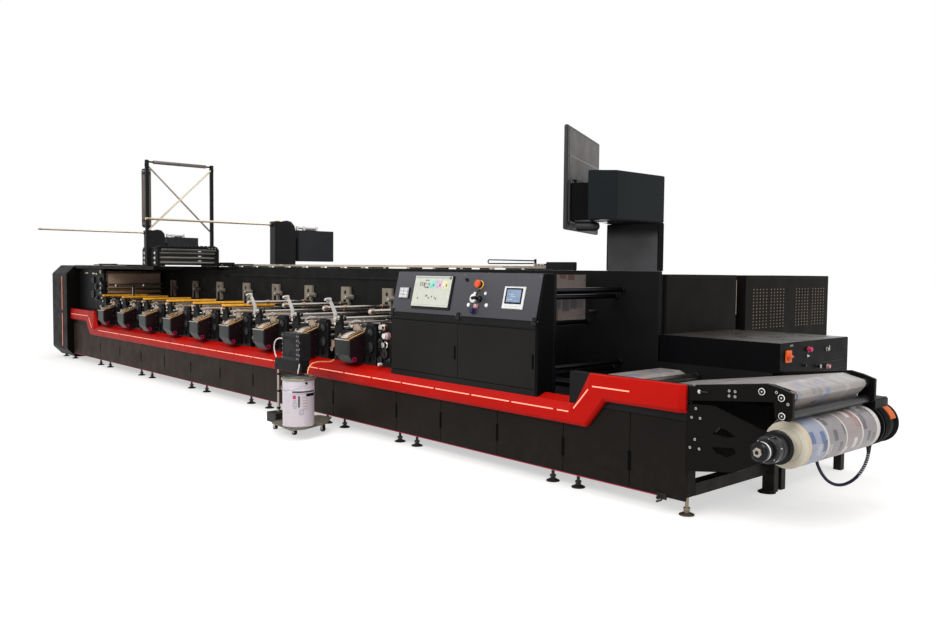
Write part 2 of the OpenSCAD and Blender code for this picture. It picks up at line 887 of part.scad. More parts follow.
module bay_plates() {
    color([0.08, 0.08, 0.10]) datum() {
        slab(-bay_x - bay_l, -bay_x, wall_y + wall_t + seat, rear_y, bed_z + seat, console_top);
        slab(-bay_x - bay_l, -console_x, bay_y0, bay_y0 + bay_t - seat, bed_z + seat, console_top);
    }
}

column_x1 = -bay_x - 15;
column_x0 = column_x1 - column_w;

module column() {
    color([0.20, 0.20, 0.21]) datum()
        slab(column_x0, column_x1, wall_y, wall_y + column_d, top_z + seat, hood_z - seat);
}

hood_y = 360;
hood_cut = 150;
hood_in = 40;          // the hood is this much narrower than the column at its left

module column_hood() {
    y1 = wall_y + column_d;
    color([0.13, 0.14, 0.15]) datum()
        translate([0, 0, hood_z]) linear_extrude(hood_top - hood_z)
            polygon([
                [column_x1, y1],
                [column_x0 + hood_in, y1],
                [column_x0 + hood_in, hood_y + (column_w - hood_in - hood_cut) / tan(monitor_a)],
                [column_x1 - hood_cut, hood_y],
                [column_x1, hood_y + hood_cut]
            ]);
}

monitor_off = 185;     // gap between the monitor's back and the hood's slanted side

module monitor() {
    color([0.14, 0.14, 0.15]) datum()
        translate([column_x1 - hood_cut, hood_y, 0]) rotate([0, 0, monitor_a])
            translate([-monitor_off, 0, 0]) {
                translate([-monitor_t, 125, monitor_z]) cube([monitor_t, monitor_w, monitor_h]);
                translate([-1, 230, monitor_z + 60]) cube([32, monitor_w - 210, 330]);
                translate([-1, 150, hood_z + 5]) cube([monitor_off + 1 - seat, 120, 280]);
            }
}

// Cabinets ---------------------------------------------------------------------

cab_y = wall_y + wall_t + seat;
cab_x = -bay_x + 20;

module tall_cabinet() {
    color([0.15, 0.14, 0.13]) datum()
        slab(cab_x - cab_l, cab_x, rear_y + seat, cab_y + cab_w, 0, cab_z);
}

module vent_cabinet() {
    y0 = cab_y + cab_w + cab_gap;
    color([0.14, 0.14, 0.13]) datum()
        slab(cab_x - cab_l, cab_x, y0, y0 + vent_w, 0, cab_z - 5);
}

module low_cabinet() {
    z = band_high_top - 5 + seat;
    color([0.12, 0.12, 0.13]) datum()
        drawn_x(cab_x + seat, cab_x + seat + low_l, [
            [rear_y + seat, low_foot],
            [wall_y + low_w, low_foot],
            [wall_y + low_w, low_z],
            [wall_y, low_z],
            [wall_y, z],
            [rear_y + seat, z]
        ]);
}

module cabinet_base() {
    x0 = cab_x + seat;
    y1 = wall_y + low_w;
    color([0.10, 0.10, 0.11]) datum()
        for (x = [x0, x0 + low_l - 60])
            for (y = [rear_y + seat, y1 - 60])
                slab(x, x + 60, y, y + 60, 0, low_foot - seat);
}

// Table and web --------------------------------------------------------------------

table_t = 60;
table_y1 = table_t + seat;
table_roll_z = 745;

module table_sides() {
    color([0.10, 0.10, 0.11]) datum() {
        slab(-bay_x + seat, 0, seat, table_t, bed_z + seat, band_high_top - 5);
        slab(-bay_x + seat, 0, wall_y, rear_y, bed_z + seat, band_high_top - 5);
    }
}

web_y0 = web_y - web_w / 2;
web_y1 = web_y + web_w / 2;

// The web past the table: over and under two rollers, over two more on the rewinder, to the roll
guide_r = idler_d / 2;
guide_a = [500, 847];
guide_b = [616, 821];
guide_c = [622, 715];
web_r = guide_r + seat + web_t / 2;

function around(c, r, a0, a1, n) = [
    for (i = [0:n]) c + r * [cos(a0 + (a1 - a0) * i / n), sin(a0 + (a1 - a0) * i / n)]
];

// Outline of a thin sheet that follows a path
function side_of(p, i) =
    let (a = p[max(0, i - 1)], b = p[min(len(p) - 1, i + 1)])
    [a[1] - b[1], b[0] - a[0]] / norm(b - a);
function sheet(p, t) = concat(
    [for (i = [0 : len(p) - 1]) p[i] + side_of(p, i) * t / 2],
    [for (i = [len(p) - 1 : -1 : 0]) p[i] - side_of(p, i) * t / 2]
);

web_path = concat(
    [[-920, table_roll_z + web_r]],
    around([-745, table_roll_z], web_r, 90, 65, 3),
    around([-600, table_roll_z], web_r, 244, 278, 4),
    around(guide_a, web_r, 98.5, 77.5, 3),
    around(guide_b, web_r, 77, -41, 9),
    [[shaft_x - 104, shaft_z + 97]]
);

bay_web_x = 1680;

module web_strips() {
    color([0.80, 0.78, 0.74]) datum() {
        slab(
            -bay_web_x - web_t, -bay_web_x, console_d + 5, web_y1,
            bed_z + 475, console_top - 10
        );
        drawn_y(web_y0, web_y1, sheet(web_path, web_t));
    }
}

// Rewinder -----------------------------------------------------------------------

// A sloping beam with the bracket plate that carries the guide rollers
module beam_plate(y0, y1) {
    rise = sin(upper_a);
    drawn_y(y0, y1, [
        [seat, 733], [beam_l - 91, 733 + (beam_l - 91) * rise],
        [beam_l - 85, 700], [beam_l - 5, 690], [beam_l + 20, 716],
        [beam_l + 20, 733 + upper_h + 20], [beam_l - 60, 733 + upper_h + 46],
        [beam_l - 140, 733 + upper_h + (beam_l - 140) * rise + 8], [52, 733 + upper_h + 5],
        [52, band_high_top - 6], [seat, band_high_top - 6]
    ]);
}

module rewind_beams() {
    color([0.11, 0.11, 0.12]) datum() {
        beam_plate(seat, arm_t);
        beam_plate(rear_y - arm_t, rear_y - seat);
    }
}

module guide_rollers() {
    color([0.70, 0.69, 0.68]) datum()
        for (c = [guide_a, guide_b, guide_c])
            roll_y(c[0], c[1], arm_t + seat, rear_y - arm_t - seat, 2 * guide_r, 40);
}

arm_end_d = 122;

// A plate that tapers to a round end about the shaft, with two pointed windows
module arm_plate(y0, y1) {
    difference() {
        union() {
            drawn_y(y0, y1, [
                [seat, 293], [335, 346], [shaft_x - 68, 446],
                [shaft_x + 24, shaft_z - 56], [shaft_x + 24, shaft_z + 56],
                [shaft_x - 88, 614], [168, 720], [seat, 708]
            ]);
            bar_y(shaft_x, shaft_z, y0, y1, arm_end_d);
        }
        drawn_y(y0 - 1, y1 + 1, [[182, 553], [225, 598], [270, 590], [338, 557], [269, 540]]);
        drawn_y(y0 - 1, y1 + 1, [[179, 473], [327, 489], [340, 460], [282, 427], [210, 440]]);
        bar_y(shaft_x, shaft_z, y0 - 1, y1 + 1, shaft_d + 0.1);
    }
}

// The cable from the motor enters the far arm through a slanted gland
gland_d = 36;
gland_l = 22;

module rewind_arms() {
    color([0.12, 0.12, 0.13]) datum() {
        arm_plate(seat, arm_t);
        arm_plate(rear_y - arm_t, rear_y - seat);
        translate([340, rear_y - arm_t + 8, 388]) rotate([135, 0, 0])
            cylinder(d = gland_d, h = gland_l + 6);
    }
}

module rewind_shaft() {
    color([0.30, 0.30, 0.32]) datum() {
        bar_y(shaft_x, shaft_z, -230, rear_y + 100, shaft_d);
        bar_y(shaft_x, shaft_z, -215, -130, 110);
        bar_y(shaft_x, shaft_z, -131, -20, 156);
    }
}

roll_mid = (arm_t + rear_y - arm_t) / 2 + 16;

module rewind_roll() {
    color([0.88, 0.87, 0.84]) datum()
        difference() {
            bar_y(shaft_x, shaft_z, roll_mid - roll_w / 2, roll_mid + roll_w / 2, roll_d);
            bar_y(shaft_x, shaft_z, roll_mid - roll_w / 2 - 1, roll_mid + roll_w / 2 + 1, shaft_d);
        }
}

motor_l = 275;

module rewind_motor() {
    y0 = rear_y + seat;
    color([0.10, 0.10, 0.11]) datum()
        difference() {
            union() {
                bar_y(shaft_x, shaft_z, y0, y0 + motor_l, 270);
                slab(shaft_x - 110, shaft_x + 70, y0, y0 + motor_l - 60, shaft_z, shaft_z + 175);
                translate([shaft_x, y0 + 100, shaft_z - 150]) cylinder(d = gland_d, h = 60);
            }
            bar_y(shaft_x, shaft_z, y0 - 1, y0 + 120, shaft_d + 10);
        }
}

// Ink pump ------------------------------------------------------------------------

dolly_z = 100;
dolly_t = 12;
pail_top = dolly_z + dolly_t + seat + pail_h;

// The pump's pieces are placed from the pail's axis
module by_pail() {
    translate([-pail_x, -pail_y, 0]) children();
}

dolly_pts = [[-350, -20], [-275, -115], [150, -165], [172, -40], [60, 250], [-185, 470], [-350, 430]];
caster_pts = [[-487, 40], [-125, 32], [-106, 322], [-460, 330]];
post_at = [-440, 50];
shelf_x = [-470, 2];
shelf_y = [30, 110];
shelf_z = [574, 680];
pump_x = [-310, 0];
pump_y = [10, 130];
pump_top = 930;

module pump_trolley() {
    color([0.15, 0.15, 0.16]) datum() by_pail() {
        translate([0, 0, dolly_z]) linear_extrude(dolly_t) polygon(dolly_pts);
        slab(-520, -60, -20, 380, dolly_z - 18, dolly_z + 1);
        slab(-520, -352, -30, 130, dolly_z - 18, dolly_z + 72);
        for (c = caster_pts)
            translate([c[0], c[1], 0]) {
                bar_y(0, 30, -12, 12, 60);
                slab(-15, 15, -15, 15, 48, dolly_z - 17);
            }
        translate([post_at[0], post_at[1], dolly_z]) cylinder(d = 28, h = shelf_z[0] - dolly_z + 1);
        drawn_y(shelf_y[0], shelf_y[1], [
            [shelf_x[0] - 10, shelf_z[0]], [shelf_x[1], shelf_z[0]], [shelf_x[1], shelf_z[1]],
            [shelf_x[0] + 14, shelf_z[1]], [shelf_x[0] - 10, shelf_z[1] - 24]
        ]);
    }
}

module ink_pail() {
    color([0.82, 0.82, 0.82]) datum() by_pail()
        translate([0, 0, dolly_z + dolly_t + seat]) {
            cylinder(d = pail_d, h = pail_h);
            translate([0, 0, pail_h - 32]) cylinder(d = pail_d + 22, h = 20);
        }
}

module ink_pump() {
    color([0.12, 0.12, 0.13]) datum() by_pail()
        slab(pump_x[0], pump_x[1], pump_y[0], pump_y[1], shelf_z[1] + seat, pump_top);
}

// Cords ---------------------------------------------------------------------------

// A tube through the points p, its rings square to the way it runs, all turned from one direction
module tube(p, d, ref, sides = 10) {
    n = len(p);
    rings = [
        for (i = [0 : n - 1])
            let (
                a = p[max(0, i - 1)], b = p[min(n - 1, i + 1)],
                t = (b - a) / norm(b - a), c = cross(t, ref), u = c / norm(c), v = cross(u, t)
            )
            for (k = [0 : sides - 1]) p[i] + d / 2 * (u * cos(360 * k / sides) + v * sin(360 * k / sides))
    ];
    polyhedron(rings, concat(
        [[for (k = [sides - 1 : -1 : 0]) k], [for (k = [0 : sides - 1]) (n - 1) * sides + k]],
        [for (i = [0 : n - 2]) for (k = [0 : sides - 1])
            [i * sides + k, i * sides + (k + 1) % sides, (i + 1) * sides + k]],
        [for (i = [0 : n - 2]) for (k = [0 : sides - 1])
            [i * sides + (k + 1) % sides, (i + 1) * sides + (k + 1) % sides, (i + 1) * sides + k]]
    ));
}

cable_d = 21;
cable_path = [
    [600, 1200, 390], [600, 1200, 345], [592, 1194, 290], [575, 1180, 235], [550, 1160, 185],
    [520, 1135, 148], [482, 1105, 124], [442, 1075, 122], [405, 1050, 143], [378, 1030, 180],
    [360, 1015, 222], [347, 1009, 261], [341, 1013.5, 297], [340, 1027.5, 330.7], [340, 1049.7, 359.7],
    [340, 1058.2, 368.2]
];

module rewind_cable() {
    color([0.05, 0.06, 0.12]) datum() tube(cable_path, cable_d, [0, 1, 0]);
}

hose_d = 12;
suction_path = [
    [-3718, -510, 680], [-3718, -510, 655], [-3720, -512, 630], [-3725, -516, 604],
    [-3729, -519, 580], [-3730, -520, 557.8]
];
return_path = [
    [-4010, -480, 866], [-4045, -480, 866], [-4085, -480, 866], [-4125, -480, 864], [-4163, -480, 855],
    [-4197, -480, 836], [-4219, -480, 806], [-4224, -480, 770], [-4216, -480, 737], [-4203, -480, 708],
    [-4186, -480, 686], [-4168, -480, 668]
];
feed_path = [
    [-3610, -490, 558], [-3610, -490, 578], [-3612, -486, 606], [-3619, -473, 632],
    [-3632, -450, 652], [-3651, -416, 664], [-3674, -369, 669], [-3698, -318, 669],
    [-3724, -265, 664], [-3750, -212, 658], [-3772, -165, 653], [-3790, -125, 653],
    [-3800, -94.2, 664.9], [-3800, -65.6, 684.9]
];

module suction_hose() {
    color([0.85, 0.84, 0.82]) datum() tube(suction_path, hose_d, [0, 1, 0], 8);
}

module return_hose() {
    color([0.85, 0.84, 0.82]) datum() tube(return_path, hose_d, [0, 1, 0], 8);
}

module feed_hose() {
    color([0.92, 0.60, 0.40]) datum() tube(feed_path, hose_d, [1, 0, 0], 8);
}

front_beam();
rear_beam();
cross_ties();
bed_plate();
levelling_feet();
skirt_panels();
rear_panels();
red_band();
light_strips();
end_housing();
infeed_plates();
canopy();
back_wall();
wall_brackets();
station_plates();
ink_pods();
pod_trays();
station_rolls();
amber_covers();
idler_arms();
idler_rods();
overhead_rail();
rail_tools();
rail_units();
rail_arms();
tower_frame();
buffer_cylinder();
stack_plates();
idler_rollers();
console_body();
console_door_left();
console_door_right();
screens();
bay_plates();
column();
column_hood();
monitor();
tall_cabinet();
vent_cabinet();
low_cabinet();
cabinet_base();
table_sides();
web_strips();
guide_rollers();
rewind_beams();
rewind_arms();
rewind_shaft();
rewind_roll();
rewind_motor();
pump_trolley();
ink_pail();
ink_pump();
rewind_cable();
suction_hose();
return_hose();
feed_hose();
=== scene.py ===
"""Looks of the flexographic printing press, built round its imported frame.

Lengths are metres. Piece functions work in machine coordinates: x runs from the rewind end of the
skirt, y from the skirt's face, z from the floor. Maker.piece() moves them to the frame's datum foot.
"""
import functools
import json
import math

import bmesh
import bpy
from mathutils import Matrix, Vector


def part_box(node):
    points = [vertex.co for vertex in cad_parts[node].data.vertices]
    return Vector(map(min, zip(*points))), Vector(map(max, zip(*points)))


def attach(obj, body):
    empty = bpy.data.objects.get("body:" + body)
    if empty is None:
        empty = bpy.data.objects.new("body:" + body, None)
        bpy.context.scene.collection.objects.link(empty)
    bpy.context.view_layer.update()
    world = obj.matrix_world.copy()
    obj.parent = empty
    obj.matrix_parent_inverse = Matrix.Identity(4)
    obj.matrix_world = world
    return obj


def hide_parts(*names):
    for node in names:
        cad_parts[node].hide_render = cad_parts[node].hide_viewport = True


bl_info = {
    "name": "Printing press builder",
    "version": (1, 0, 0),
    "blender": (4, 5, 0),
    "location": "3D View > Sidebar > Press",
    "description": "Builds the finished pieces of an in-line printing press round its frame",
    "category": "Object",
}

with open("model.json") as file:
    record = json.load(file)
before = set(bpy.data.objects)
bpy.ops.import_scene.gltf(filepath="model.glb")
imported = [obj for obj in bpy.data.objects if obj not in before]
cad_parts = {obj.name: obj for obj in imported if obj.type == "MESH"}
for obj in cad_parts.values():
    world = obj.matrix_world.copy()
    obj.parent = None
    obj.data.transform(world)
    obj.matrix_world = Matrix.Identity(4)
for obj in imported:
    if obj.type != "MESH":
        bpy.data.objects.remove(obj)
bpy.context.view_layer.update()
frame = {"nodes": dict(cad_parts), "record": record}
NODES = frame["nodes"]
DATUM = Vector((0.03, -0.066, 0.0))

STATIONS = [-3.7 - 0.8 * i for i in range(9)]
CONSOLE_X0, CONSOLE_X1 = -3.03, -1.265
SHAFT = (0.6, 0.54)
PLATE_Y, WALL_Y = 0.0848, 1.0297  # front faces of the station plates and of the back wall
CAMERA_AT = (3.016, -4.571, 1.528)
CAMERA_TURN = (-48.05, 2.88, 0.559)  # yaw, pitch and roll in degrees
CAMERA_LENS = 32.92  # millimetres, on a sensor 36 wide
TOP_Z = 1.525  # top of the end housing, under the canopy and the tower

RECORD_SLOT = {p["node"]: p["material_slot"] for p in frame["record"]["subparts"]}


# Mesh building -----------------------------------------------------------------

def collar(inner, outer, width):
    """Profile of a plain collar for Maker.lathe."""
    return [(0, inner), (0, outer), (width, outer), (width, inner)]


def break_edges(bm, edges, offset, seg):
    """Bevel the edges, taking each one once."""
    bmesh.ops.bevel(bm, geom=list(dict.fromkeys(edges)), offset=offset, segments=seg, affect="EDGES",
        clamp_overlap=True, material=-1)


class Maker:
    """Collects solids of one piece in machine coordinates, then makes a single mesh of them."""

    def __init__(self):
        self.bm = bmesh.new()
        self.mats = []

    def index(self, mat):
        if mat not in self.mats:
            self.mats.append(mat)
        return self.mats.index(mat)

    def add(self, verts, faces, mat, bevel=0.0, seg=1):
        made = [self.bm.verts.new(v) for v in verts]
        out = []
        k = self.index(mat)
        for f in faces:
            face = self.bm.faces.new([made[i] for i in f])
            face.material_index = k
            out.append(face)
        if bevel:
            break_edges(self.bm, (e for f in out for e in f.edges), bevel, seg)
        return out

    def box(self, x0, x1, y0, y1, z0, z1, mat, bevel=0.0, seg=1, turn=None):
        v = [Vector((x, y, z)) for z in (z0, z1) for y in (y0, y1) for x in (x0, x1)]
        if turn:
            v = [turn @ p for p in v]
        f = [(0, 2, 3, 1), (4, 5, 7, 6), (0, 1, 5, 4), (2, 6, 7, 3), (0, 4, 6, 2), (1, 3, 7, 5)]
        return self.add(v, f, mat, bevel, seg)

    def prism(self, pts, lift, mat, bevel=0.0, seg=1):
        """A flat outline of 3-D points drawn out along the vector lift."""
        lift = Vector(lift)
        base = [Vector(p) for p in pts]
        n = len(base)
        area = sum((base[i].cross(base[(i + 1) % n]) for i in range(n)), Vector())
        if area.dot(lift) < 0:
            base.reverse()
        v = base + [p + lift for p in base]
        f = [tuple(range(n - 1, -1, -1)), tuple(range(n, 2 * n))]
        f += [(i, (i + 1) % n, n + (i + 1) % n, n + i) for i in range(n)]
        return self.add(v, f, mat, bevel, seg)

    def plate_y(self, pts, y0, y1, mat, bevel=0.0):
        return self.prism([(x, y0, z) for x, z in pts], (0, y1 - y0, 0), mat, bevel)

    def plate_x(self, pts, x0, x1, mat, bevel=0.0):
        return self.prism([(x0, y, z) for y, z in pts], (x1 - x0, 0, 0), mat, bevel)

    def lathe(self, p, q, profile, mat, sides=24):
        """A turned shape about the line p to q. profile is (distance along, radius[, material])."""
        p, q = Vector(p), Vector(q)
        t = (q - p).normalized()
        u = t.orthogonal().normalized()
        w = t.cross(u)
        rings = []
        for s, r, *m in profile:
            c = p + t * s
            if r < 1e-5:
                rings.append([self.bm.verts.new(c)])
            else:
                rings.append([self.bm.verts.new(c + r * (u * math.cos(a) + w * math.sin(a)))
                    for a in (2 * math.pi * k / sides for k in range(sides))])
        for i in range(len(rings) - 1):
            a, b, k = rings[i], rings[i + 1], self.index((*profile[i + 1], mat)[2])
            for j in range(sides):
                n = (j + 1) % sides
                if len(a) == 1 and len(b) == 1:
                    break
                if len(a) == 1:
                    f = self.bm.faces.new((a[0], b[n], b[j]))
                elif len(b) == 1:
                    f = self.bm.faces.new((a[j], a[n], b[0]))
                else:
                    f = self.bm.faces.new((a[j], a[n], b[n], b[j]))
                f.material_index = k

    def cyl(self, p, q, r, mat, sides=24, edge=0.0):
        """A round bar from p to q with chamfered ends."""
        n = (Vector(q) - Vector(p)).length
        e = min(edge, n / 3, r / 2)
        if e > 0:
            prof = [(0, 0), (0, r - e), (e, r), (n - e, r), (n, r - e), (n, 0)]
        else:
            prof = [(0, 0), (0, r), (n, r), (n, 0)]
        self.lathe(p, q, prof, mat, sides)

    def lathe_y(self, x, z, y0, y1, profile, mat, sides=24):
        self.lathe((x, y0, z), (x, y1, z), profile, mat, sides)

    def bar_y(self, x, z, y0, y1, r, mat, sides=24, edge=0.0):
        self.cyl((x, y0, z), (x, y1, z), r, mat, sides, edge)

    def tube(self, pts, r, mat, sides=12, ref=(0, 1, 0)):
        pts = [Vector(p) for p in pts]
        rings, u = [], None
        for i, p in enumerate(pts):
            t = (pts[min(len(pts) - 1, i + 1)] - pts[max(0, i - 1)]).normalized()
            u = t.cross(Vector(ref)) if u is None else u - t * u.dot(t)
            if u.length < 1e-4:
                u = t.orthogonal()
            u.normalize()
            w = t.cross(u)
            rings.append([self.bm.verts.new(p + r * (u * math.cos(a) + w * math.sin(a)))
                for a in (2 * math.pi * k / sides for k in range(sides))])
        k = self.index(mat)
        for a, b in zip(rings, rings[1:]):
            for j in range(sides):
                n = (j + 1) % sides
                self.bm.faces.new((a[j], a[n], b[n], b[j])).material_index = k
        self.bm.faces.new(rings[0][::-1]).material_index = k
        self.bm.faces.new(rings[-1]).material_index = k

    def copy(self, node, mat, bevel=0.002, seg=1):
        """A merged copy of a CAD node with its edges broken."""
        src = NODES[node].data
        bm = bmesh.new()
        bm.from_mesh(src)
        bmesh.ops.remove_doubles(bm, verts=bm.verts, dist=1e-5)
        bmesh.ops.dissolve_limit(bm, angle_limit=0.02, verts=bm.verts, edges=bm.edges)
        if bevel:
            sharp = [e for e in bm.edges if len(e.link_faces) == 2 and e.calc_face_angle(0) > 0.5]
            break_edges(bm, sharp, bevel, seg)
        bmesh.ops.translate(bm, vec=-DATUM, verts=bm.verts)
        k = self.index(mat)
        start = {}
        bm.verts.index_update()
        for v in bm.verts:
            start[v.index] = self.bm.verts.new(v.co)
        for f in bm.faces:
            try:
                self.bm.faces.new([start[v.index] for v in f.verts]).material_index = k
            except ValueError:
                pass
        bm.free()

    def uv(self, place):
        """Give every corner a UV from its place in machine coordinates."""
        layer = self.bm.loops.layers.uv.new("UVMap")
        for f in self.bm.faces:
            uvs = [place(l.vert.co) for l in f.loops]
            wrap = max(v for _, v in uvs) - min(v for _, v in uvs) > 0.4
            for l, (u, v) in zip(f.loops, uvs):
                l[layer].uv = (u, v + 0.8545 if wrap and v < 0 else v)

    def piece(self, name, slot, *replaces, body="machine", smooth=0.6):
        """One object of all the solids so far, standing for the frame's nodes in replaces."""
        bmesh.ops.translate(self.bm, vec=DATUM, verts=self.bm.verts)
        for f in self.bm.faces:
            f.smooth = True
        for e in self.bm.edges:
            if len(e.link_faces) != 2 or e.calc_face_angle(0) > smooth:
                e.smooth = False
        mesh = bpy.data.meshes.new(name)
        self.bm.to_mesh(mesh)
        self.bm.free()
        for m in self.mats:
            mesh.materials.append(finish(m))
        obj = bpy.data.objects.new(name, mesh)
        bpy.context.collection.objects.link(obj)
        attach(obj, body)
        if replaces:
            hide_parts(*replaces)
        return obj


# Materials ---------------------------------------------------------------------

class Shade:
    """A small helper round one material's node tree."""

    def __init__(self, name):
        self.mat = bpy.data.materials.new(name)
        self.mat.use_nodes = True
        self.nt = self.mat.node_tree
        self.bsdf = self.nt.nodes["Principled BSDF"]
        self.pos = self.nt.nodes.new("ShaderNodeTexCoord").outputs["Object"]

    def node(self, kind, **inputs):
        n = self.nt.nodes.new("ShaderNode" + kind)
        for key, val in inputs.items():
            if key.startswith("_"):
                setattr(n, key[1:], val)
                continue
            numbered = key[0] == "i" and key[1:].isdigit()
            sock = n.inputs[int(key[1:]) if numbered else key.replace("__", " ")]
            if isinstance(val, bpy.types.NodeSocket):
                self.nt.links.new(val, sock)
            else:
                sock.default_value = val
        return n

    def link(self, out, name):
        self.nt.links.new(out, self.bsdf.inputs[name])

    def set(self, **vals):
        for key, val in vals.items():
            self.bsdf.inputs[key.replace("__", " ")].default_value = val

    def axis(self, k, vec=None):
        return self.node("SeparateXYZ", Vector=vec or self.pos).outputs[k]

    def uv(self):
        return self.node("UVMap", _uv_map="UVMap").outputs[0]

    def stretch(self, scale, vec=None):
        m = self.node("Mapping", Vector=vec or self.pos)
        m.inputs["Scale"].default_value = scale
        return m.outputs[0]

    def noise(self, scale, detail=2.0, vec=None):
        return self.node("TexNoise", Vector=vec or self.pos, Scale=scale, Detail=detail).outputs["Fac"]

    def span(self, val, a, b, c, d):
        return self.node("MapRange", Value=val, i1=a, i2=b, i3=c, i4=d).outputs[0]

    def mix(self, fac, a, b):
        n = self.node("Mix", _data_type="RGBA")
        for sock, val in ((n.inputs[0], fac), (n.inputs[6], a), (n.inputs[7], b)):
            if isinstance(val, bpy.types.NodeSocket):
                self.nt.links.new(val, sock)
            else:
                sock.default_value = val if isinstance(val, (int, float)) else (*val[:3], 1)
        return n.outputs[2]

    def math(self, op, a, b=0.0):
        return self.node("Math", _operation=op, i0=a, i1=b).outputs[0]

    def bump(self, height, strength=0.2, distance=0.001):
        n = self.node("Bump", Height=height, Strength=strength, Distance=distance)
        self.link(n.outputs[0], "Normal")


def tint(c, k):
    return tuple(min(1.0, v * k) for v in c[:3])


def paint(name, color, rough=0.38, tone=0.18, spec=0.08, grain=900, bump=0.12, dust=0.0, metal=0.0, patch=2.2,
        fade=None):
    """Sprayed paint: slow tone drift, faint orange peel, uneven sheen and dust low down.
    fade is (axis, from, to, second colour): the tone turns to the second colour along the axis."""
    s = Shade(name)
    dark, light = tint(color, 1 - tone), tint(color, 1 + tone)
    drift = s.span(s.noise(patch, 3), 0.3, 0.7, 0, 1)
    col = s.mix(drift, dark, light)
    if fade:
        along = s.span(s.axis(fade[0]), fade[1], fade[2], 0, 1)
        other = s.mix(drift, tint(fade[3], 1 - tone), tint(fade[3], 1 + tone))
        col = s.mix(along, col, other)
    if dust:
        fall = s.span(s.axis(2), 0.0, 0.5, dust, 0.0)
        speck = s.math("MULTIPLY", fall, s.span(s.noise(14, 5), 0.4, 0.7, 0.2, 1))
        col = s.mix(speck, col, (0.09, 0.075, 0.06))
    s.link(col, "Base Color")
    s.link(s.span(s.noise(7, 4), 0.3, 0.7, rough - 0.07, rough + 0.09), "Roughness")
    s.set(Metallic=metal, Specular__IOR__Level=spec)
    s.bump(s.noise(grain, 1), bump, 0.0006)
    return s.mat


def steel(name, color=(0.55, 0.54, 0.52), rough=0.28, axis=1, tone=0.12, lines=300, metal=1.0, rings=False,
        stain=0.5):
    """Turned or ground metal: fine lines round or along the given axis."""
    s = Shade(name)
    fine, slow = (lines / 60, lines) if rings else (lines, lines / 60)
    scale = [fine] * 3
    scale[axis] = slow
    vec = s.stretch(scale)
    grain = s.noise(1.0, 3, vec)
    drift = s.noise(3.0, 3)
    col = s.mix(s.span(grain, 0.3, 0.7, 0, 1), tint(color, 1 - tone), tint(color, 1 + tone))
    col = s.mix(s.span(drift, 0.45, 0.75, 0, stain), col, tint(color, 0.55))
    s.link(col, "Base Color")
    s.link(s.span(grain, 0.2, 0.8, rough - 0.06, rough + 0.12), "Roughness")
    s.set(Metallic=metal)
    s.bump(grain, 0.15, 0.0005)
    return s.mat


def plastic(name, color, rough=0.45, bump=0.2, grain=1500, tone=0.08, emit=0.0, spec=0.3):
    """Moulded plastic with a fine grain."""
    s = Shade(name)
    col = s.mix(s.span(s.noise(20, 2), 0.3, 0.7, 0, 1), tint(color, 1 - tone), tint(color, 1 + tone))
    s.link(col, "Base Color")
    s.link(s.span(s.noise(40, 3), 0.3, 0.7, rough - 0.05, rough + 0.05), "Roughness")
    s.set(Specular__IOR__Level=spec)
    s.bump(s.noise(grain, 1), bump, 0.0003)
    if emit:
        s.link(col, "Emission Color")
        s.set(Emission__Strength=emit)
    return s.mat


def lamp_strip(name):
    """Lit diffusers: a warm line with soft points of light, and a deep red line under the skirt."""
    s = Shade(name)
    wave = s.node("TexWave", Vector=s.stretch((18, 0, 0)), Scale=1.0).outputs["Fac"]
    warm = s.mix(s.span(wave, 0.0, 1.0, 0.0, 0.5), (1.0, 0.38, 0.27), (0.95, 0.2, 0.13))
    low = s.span(s.axis(2), 0.14, 0.16, 0, 1)
    col = s.mix(low, (0.22, 0.02, 0.035), warm)
    s.link(col, "Base Color")
    s.link(col, "Emission Color")
    s.set(Emission__Strength=0.62, Roughness=0.5, Specular__IOR__Level=0.2)
    return s.mat


def printed(name, paper, inks, across, along, lines, ink_cover):
    """Printed web: columns of text lines and picture blocks on pale paper, from the sheet's own UV."""
    s = Shade(name)
    vec = s.uv()
    cell = s.node("TexVoronoi", Vector=s.stretch((across, along, 1), vec=vec), Scale=1.0, _feature="F1",
        _distance="CHEBYCHEV", Randomness=0.65)
    pick = s.axis(0, cell.outputs["Color"])
    rows = s.node("TexWave", Vector=s.stretch((0, lines, 0), vec=vec), Scale=1.0, Distortion=0.6, Detail=1.0,
        _bands_direction="Y").outputs["Fac"]
    words = s.noise(1.0, 1.0, s.stretch((lines * 1.3, lines * 3.0, 1), vec=vec))
    text = s.math("MULTIPLY", s.span(rows, 0.42, 0.5, 0, 1), s.span(words, 0.42, 0.48, 0, 1))
    edge = s.span(cell.outputs["Distance"], 0.4, 0.44, 1, 0)
    tone = s.noise(1.0, 2, s.stretch((across * 4, along * 4, 1), vec=vec))
    col = s.mix(s.span(tone, 0.3, 0.7, 0, 1), paper, tint(paper, 0.84))
    n = len(inks)
    for k, ink in enumerate(inks):
        lo, hi = k / n * 0.8, (k + 0.75) / n * 0.8
        inside = s.math("MULTIPLY", s.span(pick, lo, lo + 0.01, 0, 1), s.span(pick, hi, hi + 0.01, 1, 0))
        if k % 2:
            inside = s.math("MULTIPLY", inside, edge)
        else:
            inside = s.math("MULTIPLY", inside, s.math("MULTIPLY", text, edge))
        col = s.mix(s.math("MULTIPLY", inside, ink_cover if k % 2 else ink_cover + 0.3), col, ink)
    s.link(col, "Base Color")
    s.link(s.span(words, 0.3, 0.7, 0.3, 0.38), "Roughness")
    s.set(Specular__IOR__Level=0.45)
    s.bump(s.noise(30, 2), 0.05, 0.001)
    return s.mat


